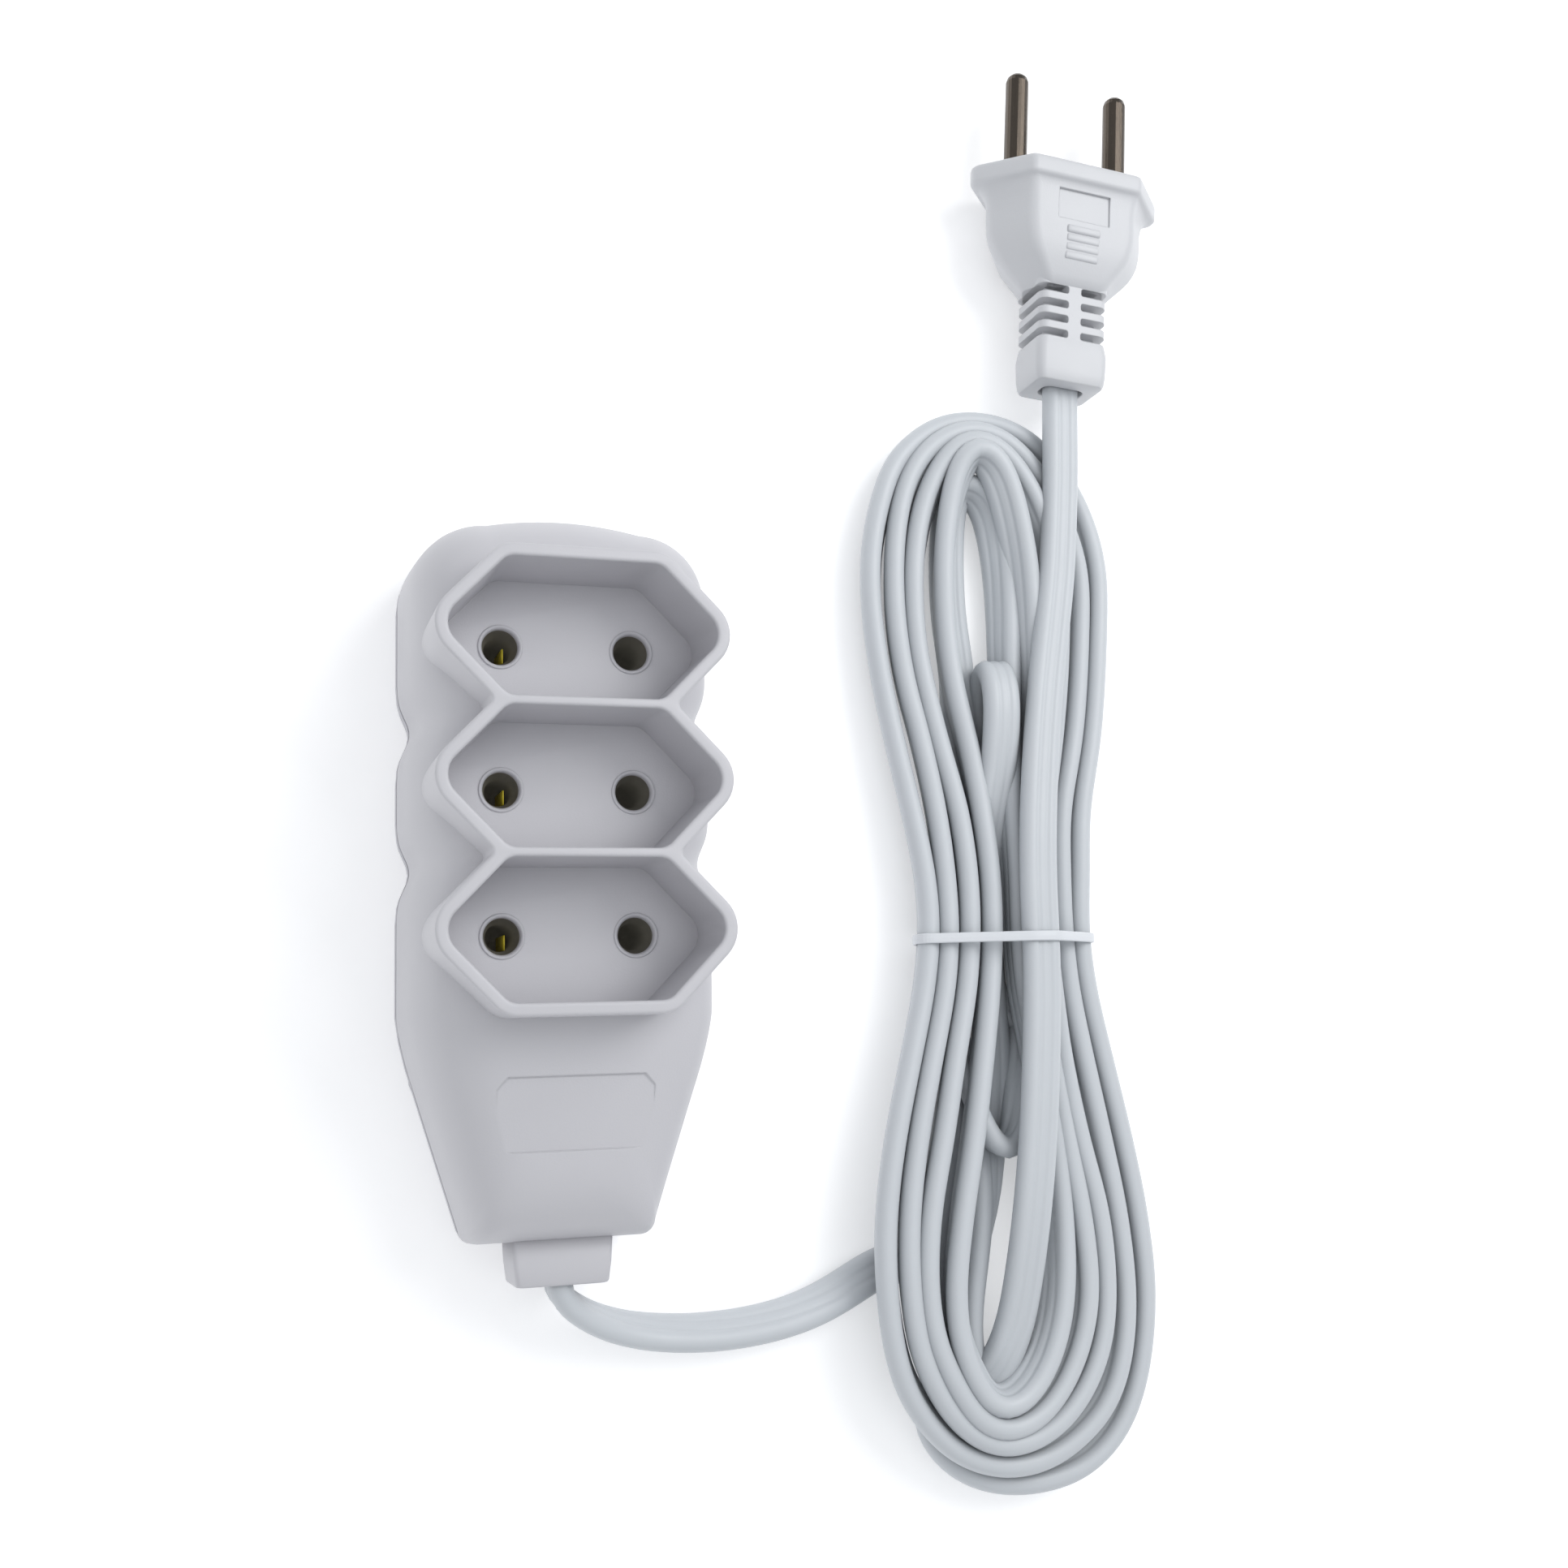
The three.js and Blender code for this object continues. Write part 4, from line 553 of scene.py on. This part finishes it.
def plate(name, loops, z0, z1, bevel, mats, res=3):
    """Solid between z0 and z1 inside the first loop and outside the others, edges rounded by bevel."""
    cu = bpy.data.curves.new(name, "CURVE")
    cu.dimensions = "2D"
    cu.fill_mode = "BOTH"
    cu.extrude = ((z1 - z0) / 2 - bevel) * MM
    cu.bevel_depth = bevel * MM
    cu.bevel_resolution = res
    cu.offset = -bevel * MM
    for lp in loops:
        sp = cu.splines.new("POLY")
        sp.points.add(len(lp) - 1)
        for q, (x, y) in zip(sp.points, lp):
            q.co = (x * MM, y * MM, 0, 1)
        sp.use_cyclic_u = True
    tmp = bpy.data.objects.new(name + "_curve", cu)
    SC.collection.objects.link(tmp)
    bpy.context.view_layer.update()
    dg = bpy.context.evaluated_depsgraph_get()
    me = bpy.data.meshes.new_from_object(tmp.evaluated_get(dg))
    bpy.data.objects.remove(tmp)
    bpy.data.curves.remove(cu)
    me.transform(Matrix.Translation((0, 0, (z0 + z1) / 2 * MM)))
    bm = bmesh.new()
    bm.from_mesh(me)
    bmesh.ops.remove_doubles(bm, verts=bm.verts, dist=1e-6)
    bmesh.ops.recalc_face_normals(bm, faces=bm.faces)
    bm.to_mesh(me)
    bm.free()
    me.materials.clear()
    for m in mats:
        me.materials.append(m)
    ob = bpy.data.objects.new(name, me)
    ob.data.name = name
    SC.collection.objects.link(ob)
    return ob


def boolean(ob, cutters, op="DIFFERENCE"):
    for c in cutters:
        md = ob.modifiers.new("b", "BOOLEAN")
        md.operation = op
        md.solver = "EXACT"
        md.object = c
    bpy.context.view_layer.update()
    dg = bpy.context.evaluated_depsgraph_get()
    me = bpy.data.meshes.new_from_object(ob.evaluated_get(dg))
    ob.modifiers.clear()
    bm = bmesh.new()
    bm.from_mesh(me)
    bmesh.ops.remove_doubles(bm, verts=bm.verts, dist=2e-6)
    bmesh.ops.dissolve_degenerate(bm, edges=bm.edges, dist=2e-6)
    bmesh.ops.holes_fill(bm, edges=[e for e in bm.edges if e.is_boundary], sides=24)
    bm.to_mesh(me)
    bm.free()
    old = ob.data
    ob.data = me
    bpy.data.meshes.remove(old)
    for c in cutters:
        bpy.data.objects.remove(c)


def shade(ob, angle=32):
    """Smooth shading that keeps edges sharper than the angle."""
    for p in ob.data.polygons:
        p.use_smooth = True
    bm = bmesh.new()
    bm.from_mesh(ob.data)
    for e in bm.edges:
        e.smooth = not (len(e.link_faces) == 2 and e.calc_face_angle(0) > math.radians(angle))
    bm.to_mesh(ob.data)
    bm.free()


def cyl(name, x, y, z0, z1, r0, r1=None, n=48, mats=()):
    r1 = r0 if r1 is None else r1
    rings = [[(x + r * math.cos(2 * math.pi * i / n), y + r * math.sin(2 * math.pi * i / n), z) for i in range(n)] for r, z in ((r0, z0), (r1, z1))]
    return loft(name, rings, list(mats))


def block(name, x0, x1, y0, y1, z0, z1, mats=()):
    return loft(name, [[(x0, y0, z0), (x1, y0, z0), (x1, y1, z0), (x0, y1, z0)], [(x0, y0, z1), (x1, y0, z1), (x1, y1, z1), (x0, y1, z1)]], list(mats))


# profile of the dome from the parting line up to the flat of the face
PROFILE = [(0.32, 6.0), (0.10, 6.12), (0.02, 6.35), (0.0, 6.8), (0.04, 8.5), (0.15, 11.0), (0.28, 13.5), (0.46, 16.0), (0.70, 17.9), (1.05, 19.5), (1.5, 20.9), (2.1, 22.3), (2.9, 23.6),
           (3.8, 24.75), (4.9, 25.7), (6.1, 26.45), (7.5, 27.05), (9.2, 27.45), (11.0, 27.6)]
rings = [ring3(i, z) for i, z in PROFILE]
n_ = len(rings[0])
h_ = n_ // 2 + 1
dv = [v for r in rings for v in r]
df = []
for k in range(len(rings) - 1):
    for i in range(n_):
        a, c = k * n_ + i, k * n_ + (i + 1) % n_
        df.append((a, c, c + n_, a + n_))
base = (len(rings) - 1) * n_
df.append((base, base + 1, base + n_ - 1))
for i in range(1, h_ - 2):
    df.append((base + i, base + i + 1, base + n_ - i - 1, base + n_ - i))
df.append((base + h_ - 2, base + h_ - 1, base + n_ - h_ + 2))
df.append(tuple(range(n_))[::-1])
dome = mesh_object("front_shell_dome", dv, df, [SHELL])
cuts = [loft("cut", [[(x, y, z) for x, y in hexagon(sy, 0.9)] for z in (8.0, RIM_Z + 2)], []) for sy in SOCKETS]
lab = []
for x, y in ((-LABEL_HALF_W, -LABEL_HALF_H), (LABEL_HALF_W, -LABEL_HALF_H), (LABEL_HALF_W, LABEL_HALF_H), (-LABEL_HALF_W, LABEL_HALF_H)):
    sx, sy = math.copysign(1, x), math.copysign(1, y)
    a, b = (x - sx * LABEL_CHAMFER, y + LABEL_Y), (x, y - sy * LABEL_CHAMFER + LABEL_Y)
    lab += [b, a] if sx * sy > 0 else [a, b]
zc = PART_Z + (FACE_Z - PART_Z) * drop_at(LABEL_Y)
slope = (FACE_Z - PART_Z) * (drop_at(LABEL_Y + 4) - drop_at(LABEL_Y - 4)) / 8
cuts.append(loft("cut", [[(x * g, LABEL_Y + (y - LABEL_Y) * g, zc - LABEL_DEPTH + slope * (y - LABEL_Y) + dz) for x, y in lab] for dz, g in ((0, 0.97), (LABEL_DEPTH, 1.0), (6, 1.02))], []))
boolean(dome, cuts)
shade(dome, 28)

# collars: one outline round the three recesses
d_ = COLLAR_WALL
cw, chh = HEX_HALF_W + d_ / NX, HEX_HALF_H + d_
cf = HEX_FLAT_X + d_ * (1 - NY) / NX
xn = cw - (SOCKET_PITCH / 2) * (cw - cf) / chh
rs_, rc_ = HEX_SIDE_R + d_, HEX_CORNER_R + d_
right = [(cf, SOCKETS[2] - chh, rc_), (cw, SOCKETS[2], rs_), (xn, SOCKETS[2] + SOCKET_PITCH / 2, 0.9), (cw, SOCKETS[1], rs_), (xn, SOCKETS[1] + SOCKET_PITCH / 2, 0.9),
         (cw, SOCKETS[0], rs_), (cf, SOCKETS[0] + chh, rc_)]
outer = rounded(right + [(-x, y, r) for x, y, r in right[::-1]], 10)
collar = plate("socket_collars", [outer] + [hexagon(sy, 0.0) for sy in SOCKETS], FLOOR_Z - 1.0, RIM_Z, 0.45, [SHELL], 4)
shade(collar, 35)
floors = []
for i, sy in enumerate(SOCKETS):
    holes = [[(sx * PIN_SPACING / 2 + 2.86 * math.cos(2 * math.pi * k / 56), sy + 2.86 * math.sin(2 * math.pi * k / 56)) for k in range(56)] for sx in (-1, 1)]
    f = plate("socket_floor_%d" % (i + 1), [hexagon(sy, 0.6)] + holes, FLOOR_Z - FLOOR_T, FLOOR_Z, 0.3, [SHELL], 4)
    shade(f, 35)
    floors.append(f)
# rim of each pin hole, and the well that the contact spring sits in, its inner walls coloured dark as painted shade
def lathe(name, x, y, prof, mats, which, n=56):
    rings = [[(x + r * math.cos(2 * math.pi * i / n), y + r * math.sin(2 * math.pi * i / n), z) for i in range(n)] for r, z in prof]
    ob = loft(name, rings + rings[:1], mats, cap=False)     # the profile runs round and closes on itself
    for k, p in enumerate(ob.data.polygons):
        p.material_index = which[k // n]
    bm = bmesh.new()
    bm.from_mesh(ob.data)
    bmesh.ops.remove_doubles(bm, verts=bm.verts, dist=1e-7)
    bmesh.ops.recalc_face_normals(bm, faces=bm.faces)
    bm.to_mesh(ob.data)
    bm.free()
    return ob


wells = []
for i, sy in enumerate(SOCKETS):
    for sx in (-1, 1):
        tag = "%d_%s" % (i + 1, "left" if sx < 0 else "right")
        prof = [(3.12, FLOOR_Z - 0.5), (3.22, FLOOR_Z + 0.04), (3.16, FLOOR_Z + 0.2), (3.02, FLOOR_Z + 0.26), (2.86, FLOOR_Z + 0.2), (2.70, FLOOR_Z - 0.02), (2.58, FLOOR_Z - 0.3), (2.55, FLOOR_Z - 0.7),
                (2.55, 19.4), (1.95, 18.6), (1.9, 12.0), (0.05, 11.9), (0.05, 11.75), (2.04, 11.75), (2.07, 18.5), (2.72, 19.3), (2.74, FLOOR_Z - 0.8), (3.1, FLOOR_Z - 0.6)]
        w = lathe("pin_hole_" + tag, sx * PIN_SPACING / 2, sy, prof, [SHELL, WELL_PAINTED_SHADE], [0] * 7 + [1] * 11)
        wells.append(w)
        xb = sx * PIN_SPACING / 2
        # edge of the contact spring standing in the well, seen in the left holes; its brass is brighter and less
        # metallic than BRASS so it reads lit in the dark well: painted highlight
        if sx < 0:
            rr = [(xb + 0.66, xb + 0.86, sy - 1.75, sy + 0.35, 12.2), (xb + 0.66, xb + 0.86, sy - 1.75, sy + 0.35, 18.7), (xb + 0.70, xb + 0.82, sy - 1.7, sy + 0.25, 18.8)]
            wells.append(loft("contact_edge_" + tag, [[(a, c, z), (e, c, z), (e, d, z), (a, d, z)] for a, e, c, d, z in rr], [BRASS_PAINTED_HIGHLIGHT]))
for o in [dome, collar] + floors + wells:
    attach(o, "root")
    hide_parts("front_shell")

# cord grommet: square neck out of the end wall
def rect_y(hw, z0, z1, y, r, steps=6):
    return [(x, y, z) for x, z in rounded([(hw, z1, r), (-hw, z1, r), (-hw, z0, r), (hw, z0, r)], steps)]


neck = loft("cord_neck", [rect_y(1.95, 7.1, 13.7, -54.0, 1.6), rect_y(1.95, 7.1, 13.7, -57.5, 1.6), rect_y(2.1, 6.95, 13.85, -57.72, 1.7), rect_y(6.25, 5.6, 14.2, -57.8, 1.0), rect_y(6.5, 5.35, 14.35, -57.72, 0.9),
                          rect_y(6.65, 5.2, 14.5, -57.45, 0.8), rect_y(6.95, 4.95, 14.75, -54.8, 0.7), rect_y(7.15, 4.9, 14.85, -51.0, 0.7)], [SHELL])
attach(neck, "root")
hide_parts("cord_grommet")

# ------------------------------------------------------------------ plug
PLUG_POS, PLUG_TURN = (91.6, 121.0, 9.3), math.radians(-4.7)


def to_plug(ob):
    ob.data.transform(Matrix.Translation(Vector(PLUG_POS) * MM) @ Matrix.Rotation(PLUG_TURN, 4, "Z"))


def hex_y(w, h, flat, rs, rc, y, steps=8):
    return [(x, y, z) for x, z in rounded([(w, 0, rs), (flat, h, rc), (-flat, h, rc), (-w, 0, rs), (-flat, -h, rc), (flat, -h, rc)], steps)]


def stem_y(hw, hh, r, y, steps=7):
    return [(x, y, z) for x, z in rounded([(hw, hh, r), (-hw, hh, r), (-hw, -hh, r), (hw, -hh, r)], steps)]


SKIN = [(14.0, 5.6, 8.2, 1.4, 1.2, -8.1), (14.0, 5.6, 8.2, 1.4, 1.2, -0.3), (14.15, 5.75, 8.25, 1.5, 1.3, 0.0), (17.5, 8.15, 9.6, 1.7, 1.4, 0.0), (17.95, 8.55, 9.8, 1.9, 1.5, -0.1),
        (18.28, 8.88, 9.95, 2.0, 1.6, -0.38), (18.4, 9.0, 10.0, 2.1, 1.7, -0.85), (18.4, 9.0, 10.0, 2.1, 1.7, -2.75), (18.32, 8.93, 10.0, 2.1, 1.7, -3.1), (18.05, 8.72, 9.95, 2.1, 1.8, -3.38),
        (17.5, 8.45, 9.85, 2.2, 1.9, -3.55), (16.9, 8.28, 9.75, 2.3, 2.1, -3.72), (16.3, 8.1, 9.65, 2.4, 2.3, -4.1), (15.8, 7.93, 9.55, 2.6, 2.5, -4.75), (15.42, 7.8, 9.45, 2.8, 2.7, -5.6),
        (15.22, 7.72, 9.4, 2.9, 2.8, -6.8), (15.2, 7.7, 9.4, 3.0, 2.8, -9.8), (15.06, 7.66, 9.3, 3.0, 2.8, -11.4), (14.7, 7.56, 9.1, 3.0, 2.8, -12.9), (14.05, 7.38, 8.8, 2.9, 2.7, -14.3),
        (13.05, 7.1, 8.3, 2.8, 2.6, -15.7), (11.8, 6.75, 7.5, 2.6, 2.5, -17.0), (10.5, 6.35, 6.7, 2.3, 2.3, -18.2), (9.3, 5.95, 6.0, 2.0, 2.1, -19.3), (8.3, 5.5, 5.5, 1.7, 1.9, -20.3), (7.6, 4.9, 5.1, 1.4, 1.6, -20.9)]
body = loft("plug_body_skin", [hex_y(*r) for r in SKIN], [PLUG])
cut = [loft("cut", [[(x * g, y, z0) for x, y in ((-4.8, -10.2), (4.8, -10.2), (4.8, -4.9), (-4.8, -4.9))] for z0, g in ((s * 7.48, 0.985), (s * 7.72, 1.0), (s * 9, 1.0))], []) for s in (1, -1)]
boolean(body, cut)
shade(body, 38)
# stem with four rows of slots
STEM = [(6.7, 5.05, 1.6, -18.2), (6.65, 5.0, 1.6, -20.0), (6.3, 4.9, 1.6, -22.0), (6.25, 4.85, 1.6, -30.2), (6.45, 5.0, 1.6, -31.3), (6.6, 5.1, 1.6, -32.4), (6.5, 5.0, 1.6, -35.8), (6.3, 4.85, 1.5, -37.2),
        (6.0, 4.6, 1.4, -37.8), (5.5, 4.2, 1.3, -38.0), (3.8, 2.1, 1.5, -38.0), (3.72, 2.02, 1.5, -37.8), (3.72, 2.02, 1.5, -34.0)]
stem = loft("plug_strain_relief", [stem_y(*r) for r in STEM], [PLUG])
cut = []
for k in range(4):
    y1 = -20.9 - k * 2.65
    y0 = y1 - 1.35
    for sx in (-1, 1):
        for sz in (-1, 1):
            pr = rounded([(sx * 1.15, y0, 0.45), (sx * 9, y0, 0.45), (sx * 9, y1, 0.45), (sx * 1.15, y1, 0.45)] if sx > 0 else [(sx * 9, y0, 0.45), (sx * 1.15, y0, 0.45), (sx * 1.15, y1, 0.45), (sx * 9, y1, 0.45)], 5)
            cut.append(loft("cut", [[(x, y, z) for x, y in pr] for z in ((2.7, 9) if sz > 0 else (-9, -2.7))], []))
        a, c = (4.7, 9) if sx > 0 else (-9, -4.7)
        pr = rounded([(-9, y0, 0.45), (9, y0, 0.45), (9, y1, 0.45), (-9, y1, 0.45)], 5)
        cut.append(loft("cut", [[(x, y, z) for z, y in pr] for x in (a, c)], []))
boolean(stem, cut)
shade(stem, 38)
# stepped finger grip on both broad faces
grips = []
for sz in (1, -1):
    for k in range(4):
        yc, zt = -11.9 - 1.45 * k, 7.98 - 0.27 * k
        prof = [(-0.66, 4.6), (0.66, 4.6), (0.66, zt - 0.22), (0.56, zt - 0.06), (0.36, zt), (-0.3, zt - 0.04), (-0.56, zt - 0.14), (-0.66, zt - 0.34)]
        g = loft("grip_%s_%d" % ("front" if sz > 0 else "back", k + 1), [[(x, yc + dy * q, sz * (z if z < 5 else z - dz)) for dy, z in prof] for x, q, dz in ((-3.1, 0.8, 0.25), (-2.95, 0.96, 0.05), (-2.8, 1, 0), (2.8, 1, 0), (2.95, 0.96, 0.05), (3.1, 0.8, 0.25))], [PLUG])
        shade(g, 50)
        grips.append(g)
for o in [body, stem] + grips:
    to_plug(o)
    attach(o, "root")
    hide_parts("plug_body")

# ------------------------------------------------------------------ finishes on the carried-over pieces
LOOK = {"front_shell": SHELL, "rear_cover": BACK, "cord_grommet": SHELL, "plug_body": PLUG, "plug_pin_carrier": INNER, "cord_clamp": INNER,
        "plug_pin_left": NICKEL, "plug_pin_right": NICKEL, "cord_inner_end": CORD, "plug_cord_end": CORD, "cord_hank": CORD, "cord_lead_block": CORD,
        "cord_lead_plug": CORD, "cord_tie": TIE}
for n, o in NODES.items():
    m = LOOK.get(n)
    if m is None:
        m = (BRASS if n.startswith(("busbar", "crimp")) else STEEL if "screw" in n else BROWN if n.endswith("core_left") else BLUE if n.endswith("core_right") else INNER)
    if not o.material_slots:
        o.data.materials.append(m)
    for s in o.material_slots:
        s.material = m

# ------------------------------------------------------------------ stage
bpy.ops.mesh.primitive_plane_add(size=6, location=(0, 0, 0))
floor = bpy.context.object
floor.name = "floor"
fm = bpy.data.materials.new("floor_white")
fm.use_nodes = True
fb = fm.node_tree.nodes["Principled BSDF"]
# painted light and shade: the sheet glows a little where it is open, and its colour and glow are painted dark in narrow
# gaps
fo = fm.node_tree.nodes.new("ShaderNodeAmbientOcclusion")
fo.inputs["Distance"].default_value = 0.0045
fo.samples = 8
fr = fm.node_tree.nodes.new("ShaderNodeMapRange")
fr.inputs["From Min"].default_value = 0.07
fr.inputs["From Max"].default_value = 0.16
fm.node_tree.links.new(fo.outputs["AO"], fr.inputs[0])
fx = fm.node_tree.nodes.new("ShaderNodeMix")
fx.data_type = "RGBA"
fx.inputs[6].default_value = (0.10, 0.105, 0.12, 1)
fx.inputs[7].default_value = (0.93, 0.93, 0.935, 1)
fm.node_tree.links.new(fr.outputs[0], fx.inputs[0])
fm.node_tree.links.new(fx.outputs[2], fb.inputs["Base Color"])
fs = fm.node_tree.nodes.new("ShaderNodeMath")
fs.operation = "MULTIPLY"
fs.inputs[1].default_value = 0.31
fm.node_tree.links.new(fr.outputs[0], fs.inputs[0])
fm.node_tree.links.new(fs.outputs[0], fb.inputs["Emission Strength"])
fb.inputs["Roughness"].default_value = 0.9
fb.inputs["Specular IOR Level"].default_value = 0.1
fb.inputs["Emission Color"].default_value = (1, 1, 1, 1)
floor.data.materials.append(fm)

world = bpy.data.worlds.new("studio")
SC.world = world
world.use_nodes = True
bg = world.node_tree.nodes["Background"]
bg.inputs[0].default_value = (0.93, 0.96, 1.0, 1)
bg.inputs[1].default_value = 0.50


def area(name, loc, target, size, power, color=(1, 1, 1)):
    ld = bpy.data.lights.new(name, "AREA")
    ld.shape = "SQUARE"
    ld.size = size
    ld.energy = power
    ld.color = color
    lo = bpy.data.objects.new(name, ld)
    lo.location = loc
    lo.rotation_euler = (Vector(target) - Vector(loc)).to_track_quat("-Z", "Y").to_euler()
    SC.collection.objects.link(lo)
    return lo


area("key_right", (0.34, 0.27, 0.46), (0.03, 0.0, 0.0), 0.38, 1.66)
area("fill_left", (-0.60, -0.15, 0.55), (0.03, 0.0, 0.0), 0.60, 0.50, (1.0, 0.985, 0.97))
area("top", (0.05, 0.0, 0.95), (0.03, 0.0, 0.0), 0.9, 1.8, (0.97, 0.985, 1.0))
SC.view_settings.view_transform = "Standard"
SC.view_settings.look = "None"
